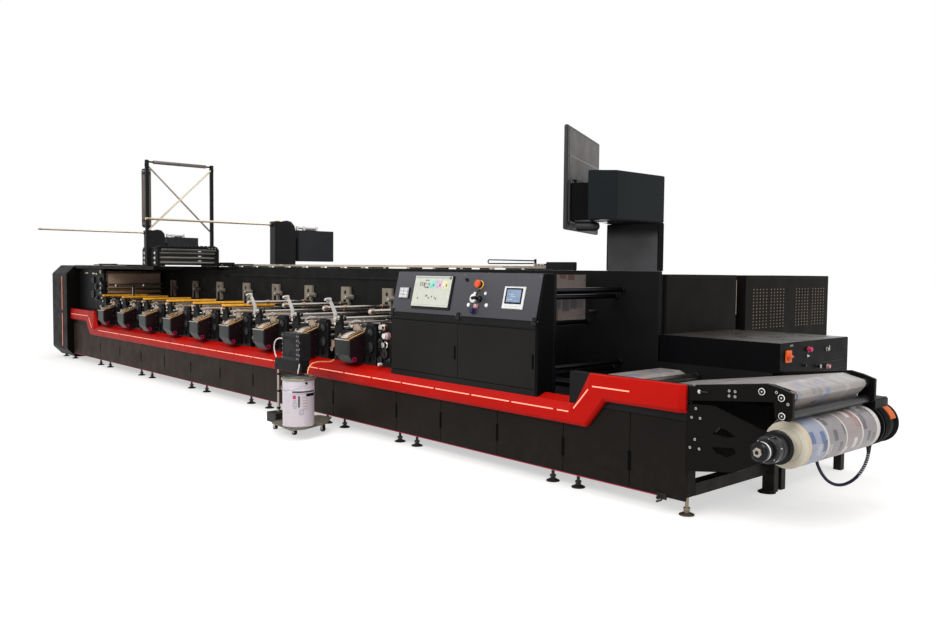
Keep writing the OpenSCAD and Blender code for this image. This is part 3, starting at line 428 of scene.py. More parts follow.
def wound_end(name):
    """End of a wound roll: cream edge with fine turns and a few tan rings."""
    s = Shade(name)
    sx = s.math("SUBTRACT", s.axis(0), SHAFT[0] + DATUM.x)
    sz = s.math("SUBTRACT", s.axis(2), SHAFT[1])
    r = s.math("SQRT", s.math("ADD", s.math("MULTIPLY", sx, sx), s.math("MULTIPLY", sz, sz)))
    turns = s.noise(1.0, 3, s.node("CombineXYZ", i0=s.math("MULTIPLY", r, 900.0)).outputs[0])
    bands = s.noise(1.0, 2, s.node("CombineXYZ", i0=s.math("MULTIPLY", r, 60.0)).outputs[0])
    col = s.mix(s.span(turns, 0.35, 0.65, 0, 1), (0.66, 0.6, 0.47), (0.74, 0.69, 0.58))
    col = s.mix(s.span(bands, 0.55, 0.62, 0, 0.55), col, (0.42, 0.3, 0.17))
    s.link(col, "Base Color")
    s.set(Roughness=0.62, Specular__IOR__Level=0.2)
    s.bump(turns, 0.3, 0.001)
    return s.mat


def row(color, rough, **more):
    return dict(color=color, rough=rough, **more)


# Colours are linear values of the finished surfaces.
PAINTS = {
    "base_black": row((0.008, 0.0075, 0.008), 0.45, dust=0.5),
    "skirt_brown_black": row((0.035, 0.022, 0.015), 0.45, tone=0.1, spec=0.05, dust=0.1,
        fade=(0, -10.5, -1.5, (0.0094, 0.0079, 0.0069))),
    "band_red": row((0.46, 0.0065, 0.0035), 0.36, tone=0.03, spec=0.06, grain=500, bump=0.03),
    "housing_black": row((0.0055, 0.0042, 0.004), 0.38, spec=0.03),
    "wall_black": row((0.0075, 0.0075, 0.0075), 0.5, spec=0.08),
    "bracket_grey": row((0.27, 0.235, 0.19), 0.45, tone=0.15, metal=0.1),
    "pod_grey": row((0.024, 0.029, 0.029), 0.3, tone=0.2, spec=0.14),
    "pod_side": row((0.012, 0.0055, 0.007), 0.36, tone=0.3, spec=0.1, patch=5),
    "pod_low": row((0.075, 0.032, 0.022), 0.34, tone=0.25, spec=0.3),
    "tower_grey": row((0.01, 0.011, 0.011), 0.38),
    "cylinder_grey": row((0.135, 0.115, 0.105), 0.36, tone=0.1, metal=0.4),
    "console_grey": row((0.0135, 0.0128, 0.0125), 0.42, spec=0.05, patch=1.2),
    "desk_grey": row((0.044, 0.045, 0.054), 0.36, tone=0.07, spec=0.3, patch=1.2,
        fade=(2, 1.14, 1.5, (0.062, 0.063, 0.073))),
    "console_side": row((0.0032, 0.0032, 0.0038), 0.38, spec=0.03),
    "hood_grey": row((0.0085, 0.011, 0.0125), 0.36, tone=0.1, spec=0.08),
    # column_satin: the fade to near black over the column's top is a painted shadow of the hood
    "column_satin": row((0.066, 0.063, 0.068), 0.36, tone=0.15, spec=0.3, patch=4,
        fade=(2, 1.78, 1.84, (0.003, 0.003, 0.0035))),
    "bay_black": row((0.003, 0.0035, 0.005), 0.28, spec=0.09),
    "cabinet_black": row((0.0105, 0.009, 0.0078), 0.44, tone=0.12, spec=0.03),
    "low_cabinet_black": row((0.004, 0.0042, 0.0048), 0.36, spec=0.04),
    "cabinet_top": row((0.03, 0.026, 0.023), 0.3, tone=0.15, spec=0.4),
    "rewind_black": row((0.0055, 0.0048, 0.0042), 0.38, spec=0.05),
    "unit_grey": row((0.022, 0.023, 0.025), 0.38, spec=0.1),
    "unit_dark": row((0.01, 0.01, 0.011), 0.38, spec=0.1),
    "motor_black": row((0.006, 0.006, 0.007), 0.48, grain=300, bump=0.3),
    "monitor_back": row((0.003, 0.003, 0.003), 0.42, tone=0.06, spec=0.08,
        fade=(2, 2.16, 2.42, (0.125, 0.115, 0.108))),
    "pail_enamel": row((0.56, 0.5, 0.54), 0.3, tone=0.06, spec=0.5,
        fade=(2, 0.15, 0.5, (0.6, 0.56, 0.62))),
    "pail_rim": row((0.3, 0.26, 0.19), 0.32, tone=0.15, metal=0.7),
    "pail_lid": row((0.055, 0.062, 0.055), 0.35, tone=0.25, spec=0.4, patch=9),
    "dolly_plate": row((0.16, 0.145, 0.115), 0.45, tone=0.3, patch=12, metal=0.3),
    "unwind_web": row((0.46, 0.33, 0.25), 0.3, tone=0.12, spec=0.5),
    "pump_satin": row((0.012, 0.012, 0.013), 0.38, tone=0.15, spec=0.14),
    "label_pink": row((0.5, 0.33, 0.32), 0.35, tone=0.1),
    "slot_black": row((0.0012, 0.0012, 0.0012), 0.6, spec=0.03),
    "strap_dark": row((0.055, 0.05, 0.055), 0.4, tone=0.1),
    "paper_cream": row((0.62, 0.5, 0.34), 0.5, tone=0.08, spec=0.3),
    "paper_white": row((0.6, 0.57, 0.54), 0.45, tone=0.06, spec=0.3),
    "vent_tan": row((0.34, 0.27, 0.2), 0.6, tone=0.1, spec=0.1),
    "seal_cream": row((0.52, 0.4, 0.3), 0.5, tone=0.1, spec=0.2),
    "red_oxide": row((0.3, 0.02, 0.02), 0.4),
    "orange_paint": row((0.62, 0.13, 0.02), 0.35, tone=0.12),
}

STEELS = {
    "roll_steel": row((0.36, 0.32, 0.28), 0.34, rings=True),
    "roll_tan": row((0.42, 0.31, 0.22), 0.34, rings=True),
    "roll_dark": row((0.035, 0.036, 0.04), 0.3, rings=True, tone=0.2),
    "roll_graphite": row((0.14, 0.135, 0.125), 0.32, rings=True),
    "bright_steel": row((0.52, 0.49, 0.46), 0.2, axis=1),
    "bright_plate": row((0.58, 0.54, 0.49), 0.24, axis=0, stain=0.3),
    "tray_copper": row((0.6, 0.33, 0.13), 0.28, axis=1, tone=0.25, lines=120),
    "rail_aluminium": row((0.56, 0.49, 0.39), 0.4, axis=0),
    # tan_steel is painted light: the reflection along the housing's chamfers and the highlight on one tower
    # brace
    "tan_steel": row((0.56, 0.47, 0.35), 0.3, axis=2),
    "foot_zinc": row((0.26, 0.22, 0.17), 0.42, axis=2),
    "foot_dark": row((0.03, 0.028, 0.027), 0.5, axis=2, metal=0.4),
    "screw_zinc": row((0.4, 0.385, 0.37), 0.3, lines=600),
    "chuck_black": row((0.02, 0.02, 0.022), 0.33, rings=True, metal=0.6),
}

PLASTICS = {
    "black_plastic": row((0.01, 0.01, 0.011), 0.45),
    "gloss_black": row((0.006, 0.006, 0.007), 0.15, spec=0.16, bump=0.02),
    "white_plastic": row((0.74, 0.74, 0.74), 0.4),
    "keypad_grey": row((0.36, 0.37, 0.4), 0.45),
    "lens_white": row((0.8, 0.82, 0.84), 0.2, emit=0.15),
    "stop_red": row((0.75, 0.09, 0.02), 0.35),
    "stop_yellow": row((0.85, 0.48, 0.03), 0.4),
    "knob_blue": row((0.018, 0.012, 0.06), 0.35),
    "knob_pink": row((0.6, 0.3, 0.32), 0.4),
    # switch_red glows a little; on the pail's red label that glow is painted light
    "switch_red": row((0.45, 0.02, 0.09), 0.35, emit=0.15),
    "lamp_magenta": row((0.42, 0.008, 0.07), 0.35, emit=0.2),
    "switch_orange": row((0.85, 0.16, 0.01), 0.4),
    # amber_clear glows a little: painted light on covers that are no lamps
    "amber_clear": row((0.9, 0.38, 0.03), 0.16, bump=0.02, tone=0.3, emit=0.12, spec=0.6),
    "screen_cream": row((0.56, 0.58, 0.5), 0.25, bump=0.0, tone=0.03, emit=0.05),
    "screen_blue": row((0.2, 0.27, 0.4), 0.2, bump=0.0, tone=0.12, emit=0.15),
    "ui_cyan": row((0.28, 0.66, 0.56), 0.25, bump=0.0, tone=0.15, emit=0.1),
    "ui_pink": row((0.62, 0.42, 0.58), 0.25, bump=0.0, tone=0.15, emit=0.1),
    "ui_yellow": row((0.72, 0.7, 0.42), 0.25, bump=0.0, tone=0.15, emit=0.1),
    "ui_dark": row((0.05, 0.05, 0.05), 0.25, bump=0.0, tone=0.3),
    "ui_grey": row((0.3, 0.31, 0.28), 0.25, bump=0.0, tone=0.3),
    "core_board": row((0.34, 0.25, 0.15), 0.7, tone=0.15),
    "cable_navy": row((0.008, 0.009, 0.035), 0.4),
    "hose_white": row((0.78, 0.66, 0.64), 0.3, tone=0.05),
    "hose_orange": row((0.9, 0.36, 0.17), 0.3, tone=0.05),
    "caster_grey": row((0.42, 0.42, 0.42), 0.45, tone=0.15),
}

# Paper, inks, blocks across and along, text lines, cover of the inks
PRINTS = {
    "print_blue": ((0.29, 0.31, 0.4), [
        (0.02, 0.045, 0.12), (0.05, 0.1, 0.24), (0.62, 0.62, 0.62), (0.03, 0.05, 0.12)], 16, 12, 60, 0.9),
    "print_grey": ((0.25, 0.23, 0.235), [
        (0.55, 0.53, 0.52), (0.06, 0.06, 0.07), (0.62, 0.6, 0.58), (0.09, 0.08, 0.09)], 17, 13, 70, 0.9),
    "print_red": ((0.31, 0.255, 0.25), [
        (0.22, 0.035, 0.03), (0.12, 0.08, 0.08), (0.34, 0.05, 0.04), (0.62, 0.58, 0.56)], 18, 12, 80, 0.9),
    "web_print": ((0.31, 0.285, 0.27), [
        (0.1, 0.1, 0.12), (0.3, 0.19, 0.13), (0.09, 0.12, 0.24), (0.36, 0.35, 0.36), (0.2, 0.1, 0.08),
        (0.14, 0.18, 0.32)], 13, 9, 60, 0.75),
    "bay_print": ((0.24, 0.2, 0.185), [
        (0.05, 0.05, 0.06), (0.12, 0.06, 0.045), (0.06, 0.07, 0.12), (0.16, 0.15, 0.15), (0.1, 0.04, 0.03),
        (0.07, 0.07, 0.08)], 9, 8, 60, 0.8),
}

# The record's slots and the finish that stands for each.
SLOT_FINISH = {
    "tray_tan": "tray_copper", "screen_glass": "gloss_black", "monitor_plastic": "black_plastic",
    "wound_film": "wound_end", "pail_steel": "pail_enamel", "pump_black": "black_plastic",
}


@functools.cache
def finish(name):
    """The material of that name, made once."""
    for table, make in ((PAINTS, paint), (STEELS, steel), (PLASTICS, plastic)):
        if name in table:
            return make(name, **table[name])
    if name in PRINTS:
        return printed(name, *PRINTS[name])
    return {"led_warm": lamp_strip, "wound_end": wound_end}[name](name)


# Geometry Nodes ----------------------------------------------------------------

class Grower:
    """A geometry node tree with named inputs; run() grows one plain mesh from marked points."""

    def __init__(self, name, **inputs):
        self.tree = bpy.data.node_groups.new(name, "GeometryNodeTree")
        face = self.tree.interface
        face.new_socket("Geometry", in_out="INPUT", socket_type="NodeSocketGeometry")
        for key, val in inputs.items():
            kind = "Material" if val is None else "Int" if isinstance(val, int) else "Float"
            sock = face.new_socket(key.replace("_", " "), in_out="INPUT", socket_type="NodeSocket" + kind)
            if val is not None:
                sock.default_value = val
        face.new_socket("Geometry", in_out="OUTPUT", socket_type="NodeSocketGeometry")
        self.inp = self.tree.nodes.new("NodeGroupInput")
        self.geo = self.inp.outputs["Geometry"]

    def val(self, name):
        return self.inp.outputs[name.replace("_", " ")]

    def node(self, kind, out=0, **inputs):
        n = self.tree.nodes.new(kind)
        for key, val in inputs.items():
            if key.startswith("_"):
                setattr(n, key[1:], val)
        for key, val in inputs.items():
            if key.startswith("_"):
                continue
            numbered = key[0] == "i" and key[1:].isdigit()
            sock = n.inputs[int(key[1:]) if numbered else key.replace("_", " ")]
            for v in val if isinstance(val, list) else [val]:
                if isinstance(v, bpy.types.NodeSocket):
                    self.tree.links.new(v, sock)
                else:
                    sock.default_value = v
        return n.outputs[out]

    def math(self, op, a, b=0.0):
        return self.node("ShaderNodeMath", _operation=op, i0=a, i1=b)

    def vec(self, x=0.0, y=0.0, z=0.0):
        return self.node("ShaderNodeCombineXYZ", X=x, Y=y, Z=z)

    def moved(self, geo, offset):
        return self.node("GeometryNodeTransform", Geometry=geo, Translation=offset)

    def drum(self, sides, radius, depth, z0=0.0):
        """A round or many-sided disc standing on z0."""
        n = self.node("GeometryNodeMeshCylinder", _fill_type="NGON", Vertices=sides, Radius=radius,
            Depth=depth)
        half = self.math("MULTIPLY", depth, 0.5)
        return self.moved(n, self.vec(z=self.math("ADD", half, z0)))

    def marked(self, geo, tag):
        return self.node("GeometryNodeStoreNamedAttribute", _data_type="BOOLEAN", _domain="FACE",
            Geometry=geo, Name=tag, Value=True)

    def join(self, *geos):
        return self.node("GeometryNodeJoinGeometry", Geometry=list(geos))

    def attr(self, name, kind="FLOAT"):
        return self.node("GeometryNodeInputNamedAttribute", _data_type=kind, Name=name)

    def on_points(self, points, shape, scale=None):
        turn = self.node("FunctionNodeAlignRotationToVector", _axis="Z",
            Vector=self.attr("facing", "FLOAT_VECTOR"))
        inputs = dict(Points=points, Instance=shape, Rotation=turn)
        if scale is not None:
            inputs["Scale"] = scale
        return self.node("GeometryNodeInstanceOnPoints", **inputs)

    def end(self, geo, material, marks=()):
        geo = self.node("GeometryNodeRealizeInstances", Geometry=geo)
        geo = self.node("GeometryNodeSetMaterial", Geometry=geo, Material=self.val(material))
        for tag, mat in marks:
            geo = self.node("GeometryNodeSetMaterial", Geometry=geo, Material=self.val(mat),
                Selection=self.attr(tag, "BOOLEAN"))
        out = self.tree.nodes.new("NodeGroupOutput")
        self.tree.links.new(geo, out.inputs[0])
        return self

    def run(self, name, points, body="machine", slot=None, smooth=0.7, **values):
        """points are (place[, facing[, size]]) in machine coordinates."""
        mesh = bpy.data.meshes.new(name + "_points")
        mesh.from_pydata([tuple(Vector(p[0]) + DATUM) for p in points], [], [])
        mesh.attributes.new("facing", "FLOAT_VECTOR", "POINT")
        mesh.attributes.new("size", "FLOAT", "POINT")
        for i, p in enumerate(points):
            mesh.attributes["facing"].data[i].vector = p[1] if len(p) > 1 else (0, 0, 1)
            mesh.attributes["size"].data[i].value = p[2] if len(p) > 2 else 1.0
        obj = bpy.data.objects.new(name, mesh)
        bpy.context.collection.objects.link(obj)
        mod = obj.modifiers.new("Grow", "NODES")
        mod.node_group = self.tree
        ids = {s.name: s.identifier for s in self.tree.interface.items_tree if s.item_type == "SOCKET"
            and s.in_out == "INPUT"}
        for key, val in values.items():
            mod[ids[key.replace("_", " ")]] = finish(val) if isinstance(val, str) else val
        bpy.context.view_layer.update()
        graph = bpy.context.evaluated_depsgraph_get()
        plain = bpy.data.meshes.new_from_object(obj.evaluated_get(graph))
        obj.modifiers.remove(mod)
        obj.data = plain
        plain.name = name
        for a in [a.name for a in plain.attributes if a.name in ("facing", "size", "hollow", "rim")]:
            plain.attributes.remove(plain.attributes[a])
        mats = list(plain.materials)
        slots = [f.material_index for f in plain.polygons]
        used = sorted(set(slots))
        plain.materials.clear()
        for k in used:
            plain.materials.append(mats[k])
        bm = bmesh.new()
        bm.from_mesh(plain)
        for f in bm.faces:
            f.smooth = True
            f.material_index = used.index(slots[f.index])
        for e in bm.edges:
            e.smooth = len(e.link_faces) == 2 and e.calc_face_angle(0) < smooth
        bm.to_mesh(plain)
        bm.free()
        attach(obj, body)
        return obj


@functools.cache
def screws():
    """Round heads with a hexagon socket; the point's size is the head's radius."""
    g = Grower("press_screws", Sides=12, Head_height=0.6, Socket=0.5, Metal=None, Shadow=None)
    head = g.drum(g.val("Sides"), 1.0, g.val("Head height"))
    hole = g.drum(6, g.val("Socket"), 0.02, g.val("Head height"))
    shape = g.join(head, g.marked(hole, "hollow"))
    return g.end(g.on_points(g.geo, shape, g.attr("size")), "Metal", [("hollow", "Shadow")])


@functools.cache
def studs():
    """Round buttons with a wider collar; the point's size is the collar's radius."""
    g = Grower("press_studs", Sides=20, Collar_height=0.15, Button_radius=0.7, Button_height=0.5, Collar=None,
        Button=None)
    collar = g.drum(g.val("Sides"), 1.0, g.val("Collar height"))
    top = g.drum(g.val("Sides"), g.val("Button radius"), g.val("Button height"), g.val("Collar height"))
    shape = g.join(collar, g.marked(top, "hollow"))
    return g.end(g.on_points(g.geo, shape, g.attr("size")), "Collar", [("hollow", "Button")])


@functools.cache
def perforation():
    """A grid of holes shown as small flat discs, one grid at each point."""
    g = Grower("press_perforation", Rows=16, Columns=5, Height=0.36, Width=0.2, Hole_radius=0.006,
        Depth=0.001, Hole=None)
    grid = g.node("GeometryNodeMeshGrid", Size_X=g.val("Height"), Size_Y=g.val("Width"),
        Vertices_X=g.val("Rows"), Vertices_Y=g.val("Columns"))
    dot = g.drum(8, g.val("Hole radius"), g.val("Depth"))
    field = g.node("GeometryNodeInstanceOnPoints", Points=grid, Instance=dot)
    field = g.node("GeometryNodeRealizeInstances", Geometry=field)
    return g.end(g.on_points(g.geo, field), "Hole")


@functools.cache
def ribs():
    """A row of thin discs stacked from each point along its facing: cooling ribs and collars."""
    g = Grower("press_ribs", Count=8, Step=0.02, Radius=0.1, Thickness=0.008, Sides=32, Body=None)
    line = g.node("GeometryNodeMeshLine", _mode="OFFSET", Count=g.val("Count"), Offset=g.vec(z=g.val("Step")))
    disc = g.drum(g.val("Sides"), g.val("Radius"), g.val("Thickness"))
    stack = g.node("GeometryNodeInstanceOnPoints", Points=line, Instance=disc)
    stack = g.node("GeometryNodeRealizeInstances", Geometry=stack)
    return g.end(g.on_points(g.geo, stack, g.attr("size")), "Body")


@functools.cache
def gear_teeth():
    """A toothed disc at each point; its size is the pitch radius."""
    g = Grower("press_gear_teeth", Teeth=28, Width=0.25, Tooth=0.07, Gear=None)
    ring = g.node("GeometryNodeMeshCircle", Vertices=g.val("Teeth"), Radius=1.0)
    tooth = g.node("GeometryNodeMeshCube", Size=g.vec(g.val("Tooth"), g.val("Tooth"), g.val("Width")))
    turn = g.node("FunctionNodeAlignRotationToVector", _axis="X", Vector=g.node("GeometryNodeInputPosition"))
    rim = g.node("GeometryNodeInstanceOnPoints", Points=ring, Instance=tooth, Rotation=turn)
    disc = g.moved(g.drum(g.val("Teeth"), 0.97, g.val("Width")),
        g.vec(z=g.math("MULTIPLY", g.val("Width"), -0.5)))
    shape = g.join(g.node("GeometryNodeRealizeInstances", Geometry=rim), disc)
    return g.end(g.on_points(g.geo, shape, g.attr("size")), "Gear")


@functools.cache
def level_feet():
    """Levelling feet: pad, neck, nut and screw; the point's size is the foot's height."""
    g = Grower("press_level_feet", Pad_radius=0.049, Pad_height=0.016, Screw_radius=0.012, Nut_radius=0.024,
        Nut_height=0.014, Foot=None)
    flat = g.math("MULTIPLY", g.val("Pad height"), 0.4)
    pad = g.drum(28, g.val("Pad radius"), flat)
    dome = g.node("GeometryNodeMeshCone", _fill_type="NGON", Vertices=28, Radius_Top=0.02,
        Radius_Bottom=g.val("Pad radius"), Depth=g.math("MULTIPLY", g.val("Pad height"), 0.9))
    dome = g.moved(dome, g.vec(z=flat))
    neck = g.drum(16, 0.019, 0.012, g.val("Pad height"))
    nut = g.drum(6, g.val("Nut radius"), g.val("Nut height"), 0.034)
    shape = g.join(pad, dome, neck, nut)
    base = g.on_points(g.geo, shape)
    screw = g.drum(16, g.val("Screw radius"), 1.0)
    screws_up = g.on_points(g.geo, screw, g.vec(1.0, 1.0, g.attr("size")))
    return g.end(g.join(base, screws_up), "Foot")


def drilled(name, points, metal="screw_zinc"):
    """Socket screws at points of (place, facing, head radius)."""
    screws().run(name, points, slot="bright_steel", Metal=metal, Shadow="gloss_black")


# Stage -----------------------------------------------------------------------------

def camera():
    """Stands at CAMERA_AT and looks along CAMERA_TURN."""
    yaw, pitch, roll = (math.radians(a) for a in CAMERA_TURN)
    f = Vector((math.sin(yaw) * math.cos(pitch), math.cos(yaw) * math.cos(pitch), -math.sin(pitch)))
    r = Vector((math.cos(yaw), -math.sin(yaw), 0))
    u = r.cross(f)
    r2 = r * math.cos(roll) + u * math.sin(roll)
    u2 = -r * math.sin(roll) + u * math.cos(roll)
    cam = bpy.data.objects.new("Camera", bpy.data.cameras.new("Camera"))
    cam.data.lens = CAMERA_LENS
    cam.data.sensor_width = 36
    cam.data.clip_end = 150
    m = Matrix((r2, u2, -f)).transposed().to_4x4()
    m.translation = Vector(CAMERA_AT)
    cam.matrix_world = m
    bpy.context.collection.objects.link(cam)
    bpy.context.scene.camera = cam


def link_all(nt, *pairs):
    for out_socket, in_socket in pairs:
        nt.links.new(out_socket, in_socket)


def white_for_sight(nt, lit, out_socket, white):
    """Camera, glossy and transmission rays see plain white, other rays the lit shader."""
    path = nt.nodes.new("ShaderNodeLightPath")
    seen = path.outputs["Is Camera Ray"]
    for name in ("Is Glossy Ray", "Is Transmission Ray"):
        either = nt.nodes.new("ShaderNodeMath")
        either.operation = "MAXIMUM"
        link_all(nt, (seen, either.inputs[0]), (path.outputs[name], either.inputs[1]))
        seen = either.outputs[0]
    mix = nt.nodes.new("ShaderNodeMixShader")
    link_all(nt, (seen, mix.inputs[0]), (lit, mix.inputs[1]), (white, mix.inputs[2]),
        (mix.outputs[0], out_socket))


def stage_world(level):
    world = bpy.data.worlds.new("Studio")
    bpy.context.scene.world = world
    world.use_nodes = True
    nt = world.node_tree
    bg = nt.nodes["Background"]
    bg.inputs[0].default_value = (1, 0.99, 0.98, 1)
    bg.inputs[1].default_value = level
    white = nt.nodes.new("ShaderNodeBackground")
    white.inputs[0].default_value = (1, 1, 1, 1)
    white_for_sight(nt, bg.outputs[0], nt.nodes["World Output"].inputs[0], white.outputs[0])


def stage_floor(near_glow, far_glow):
    """Pale floor: it keeps the object's shadow close by and runs out to the white background."""
    mesh = bpy.data.meshes.new("floor")
    mesh.from_pydata([(-70, -50, 0), (50, -50, 0), (50, 70, 0), (-70, 70, 0)], [], [(0, 1, 2, 3)])
    obj = bpy.data.objects.new("floor", mesh)
    bpy.context.collection.objects.link(obj)
    mat = bpy.data.materials.new("pale_floor")
    mat.use_nodes = True
    nt = mat.node_tree
    nt.nodes.remove(nt.nodes["Principled BSDF"])
    diff = nt.nodes.new("ShaderNodeBsdfDiffuse")
    diff.inputs[0].default_value = (0.62, 0.61, 0.6, 1)
    place = nt.nodes.new("ShaderNodeTexCoord")
    centre = nt.nodes.new("ShaderNodeMapping")
    centre.inputs["Location"].default_value = (3.0, -0.3, 0)
    centre.inputs["Scale"].default_value = (0.6, 1, 1)
    reach = nt.nodes.new("ShaderNodeVectorMath")
    reach.operation = "LENGTH"
    ramp = nt.nodes.new("ShaderNodeMapRange")
    for k, v in zip(("From Min", "From Max", "To Min", "To Max"), (2.5, 12.0, near_glow, far_glow)):
        ramp.inputs[k].default_value = v
    glow = nt.nodes.new("ShaderNodeEmission")
    add = nt.nodes.new("ShaderNodeAddShader")
    link_all(nt, (place.outputs["Object"], centre.inputs[0]), (centre.outputs[0], reach.inputs[0]),
        (reach.outputs["Value"], ramp.inputs[0]), (ramp.outputs[0], glow.inputs[1]),
        (diff.outputs[0], add.inputs[0]), (glow.outputs[0], add.inputs[1]))
    white_for_sight(nt, diff.outputs[0], nt.nodes["Material Output"].inputs[0], add.outputs[0])
    mesh.materials.append(mat)


def area_lamp(name, place, target, size, watts):
    lamp = bpy.data.lights.new(name, "AREA")
    lamp.shape = "RECTANGLE"
    lamp.size, lamp.size_y = size
    lamp.energy = watts
    obj = bpy.data.objects.new(name, lamp)
    d = Vector(target) - Vector(place)
    obj.rotation_euler = d.to_track_quat("-Z", "Y").to_euler()
    obj.location = place
    bpy.context.collection.objects.link(obj)


# Cords -----------------------------------------------------------------------------

# Routes in millimetres, as the frame's own cords run
CABLE = [
    (600, 1200, 390), (600, 1200, 345), (592, 1194, 290), (575, 1180, 235), (550, 1160, 185),
    (520, 1135, 148), (482, 1105, 124), (442, 1075, 122), (405, 1050, 143), (378, 1030, 180),
    (360, 1015, 222), (347, 1009, 261), (341, 1013.5, 297), (340, 1027.5, 330.7), (340, 1049.7, 359.7),
    (340, 1058.2, 368.2)]
SUCTION = [
    (-3718, -510, 680), (-3718, -510, 655), (-3720, -512, 630), (-3725, -516, 604),
    (-3729, -519, 580), (-3730, -520, 557.8)]
RETURN = [
    (-4010, -480, 866), (-4045, -480, 866), (-4085, -480, 866), (-4125, -480, 864), (-4163, -480, 855),
    (-4197, -480, 836), (-4219, -480, 806), (-4224, -480, 770), (-4216, -480, 737), (-4203, -480, 708),
    (-4186, -480, 686), (-4168, -480, 668)]
FEED = [
    (-3610, -490, 558), (-3610, -490, 578), (-3612, -486, 606), (-3619, -473, 632),
    (-3632, -450, 652), (-3651, -416, 664), (-3674, -369, 669), (-3698, -318, 669),
    (-3724, -265, 664), (-3750, -212, 658), (-3772, -165, 653), (-3790, -125, 653),
    (-3800, -94.2, 664.9), (-3800, -65.6, 684.9)]


def smooth_path(pts, n=6):
    """A curve through the route's points, in metres."""
    p = [Vector(v) * 0.001 for v in pts]
    p = [2 * p[0] - p[1]] + p + [2 * p[-1] - p[-2]]
    out = []
    for a, b, c, d in zip(p, p[1:], p[2:], p[3:]):
        for k in range(n):
            t = k / n
            out.append(0.5 * (2 * b + (c - a) * t + (2 * a - 5 * b + 4 * c - d) * t * t + (3 * b - a - 3 * c
                + d) * t ** 3))
    out.append(p[-2])
    return out


def relief(m, path, i0, i1, r0, r1, mat):
    """A tapered sleeve over the path's points i0 to i1, thick at i0."""
    ends = path[i0:i1 + 1] if i0 < i1 else path[i1:i0 + 1][::-1]
    n = len(ends) - 1
    for k in range(n):
        a, b = ends[k], ends[k + 1]
        ra, rb = (r0 + (r1 - r0) * j / n for j in (k, k + 1))
        m.lathe(a, b, [(0, 0), (0, ra), ((b - a).length, rb), ((b - a).length, 0)], mat, 16)


def free_cord(name, node, route, d, mat, sleeves, wrap=None):
    path = smooth_path(route)
    m = Maker()
    m.tube(path, d / 2, mat, 16)
    obj = m.piece(name, RECORD_SLOT[node], node)
    s = Maker()
    for i0, i1 in sleeves:
        relief(s, path, i0, i1, d * 0.82, d * 0.54, "black_plastic")
    if wrap:
        first, last, turns, r = wrap
        run = path[first:last]
        coil = []
        for k in range(turns * 10):
            t = k / (turns * 10 - 1) * (len(run) - 1)
            i = min(int(t), len(run) - 2)
            c = run[i].lerp(run[i + 1], t - i)
            tan = (run[i + 1] - run[i]).normalized()
            u = tan.cross(Vector((1, 0, 0))).normalized()
            w = tan.cross(u)
            a = 2 * math.pi * k / 10
            coil.append(c + (d / 2 + r * 0.6) * (u * math.cos(a) + w * math.sin(a)))
        s.tube(coil, r, "white_plastic", 6, ref=(1, 0, 0))
    fit = s.piece(name + "_sleeves", "cable_navy")
    length = sum((b - a).length for a, b in zip(path, path[1:]))
    line = [tuple(p + DATUM) for p in path]
    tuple(line[0])
    return obj


# Operators ----------------------------------------------------------------------------

class PressStageProps(bpy.types.PropertyGroup):
    world_level: bpy.props.FloatProperty(name="Ambient level",
        description="Brightness of the studio's soft light", default=0.52, min=0.0)
    key_watts: bpy.props.FloatProperty(name="Key lamp",
        description="Power of the large lamp over the operator's side", default=640.0, min=0.0, unit="POWER")
    near_glow: bpy.props.FloatProperty(name="Floor near",
        description="The floor's own light close to the machine", default=0.54, min=0.0)
    far_glow: bpy.props.FloatProperty(name="Floor far",
        description="The floor's own light far from the machine", default=0.72, min=0.0)


class PRESS_OT_stage(bpy.types.Operator):
    """Camera, pale floor, white background and soft studio light"""
    bl_idname = "press.stage"
    bl_label = "Stage"

    def execute(self, context):
        p = context.scene.press_stage
        camera()
        context.scene.view_settings.view_transform = "Standard"
        stage_world(p.world_level)
        stage_floor(p.near_glow, p.far_glow)
        area_lamp("key", (-1, -8, 6.5), (-4, 0, 0.8), (10, 4), p.key_watts)
        area_lamp("end", (7.5, 0.5, 4.5), (0, 0.8, 0.8), (5, 4), p.key_watts * 0.35)
        area_lamp("top", (-5, 1, 9), (-5, 1, 0), (14, 5), p.key_watts * 0.8)
        return {"FINISHED"}


class PRESS_OT_cords(bpy.types.Operator):
    """Motor cable and the ink pump's three hoses"""
    bl_idname = "press.cords"
    bl_label = "Cords and hoses"

    def execute(self, context):
        free_cord("motor_cable", "rewind_cable", CABLE, 0.021, "cable_navy", [(0, 6), (90, 85)],
            wrap=(6, 24, 11, 0.0022))
        free_cord("suction_hose_tube", "suction_hose", SUCTION, 0.012, "hose_white", [(0, 5), (30, 26)])
        free_cord("return_hose_tube", "return_hose", RETURN, 0.012, "hose_white", [(0, 5), (66, 61)])
        free_cord("feed_hose_tube", "feed_hose", FEED, 0.012, "hose_orange", [(0, 6), (78, 73)])
        return {"FINISHED"}


class PRESS_OT_finishes(bpy.types.Operator):
    """Gives every carried-over frame node its own finish"""
    bl_idname = "press.finishes"
    bl_label = "Frame finishes"

    def execute(self, context):
        for name, obj in NODES.items():
            slot = RECORD_SLOT[name]
            mat = finish(SLOT_FINISH.get(slot, slot))
            if not obj.material_slots:
                obj.data.materials.append(mat)
            for s in obj.material_slots:
                s.material = mat
        return {"FINISHED"}


def along(points, x):
    """Value at x of a line of (x, value) points."""
    for (a, va), (b, vb) in zip(points, points[1:]):
        if x <= b:
            return va + (vb - va) * max(0.0, (x - a) / (b - a))
    return points[-1][1]


class PressBaseProps(bpy.types.PropertyGroup):
    pad_radius: bpy.props.FloatProperty(name="Levelling pad",
        description="Radius of the levelling feet's pads", default=0.049, unit="LENGTH")
    edge: bpy.props.FloatProperty(name="Sheet edge", description="Rounding of the folded sheet's edges",
        default=0.0025, unit="LENGTH")


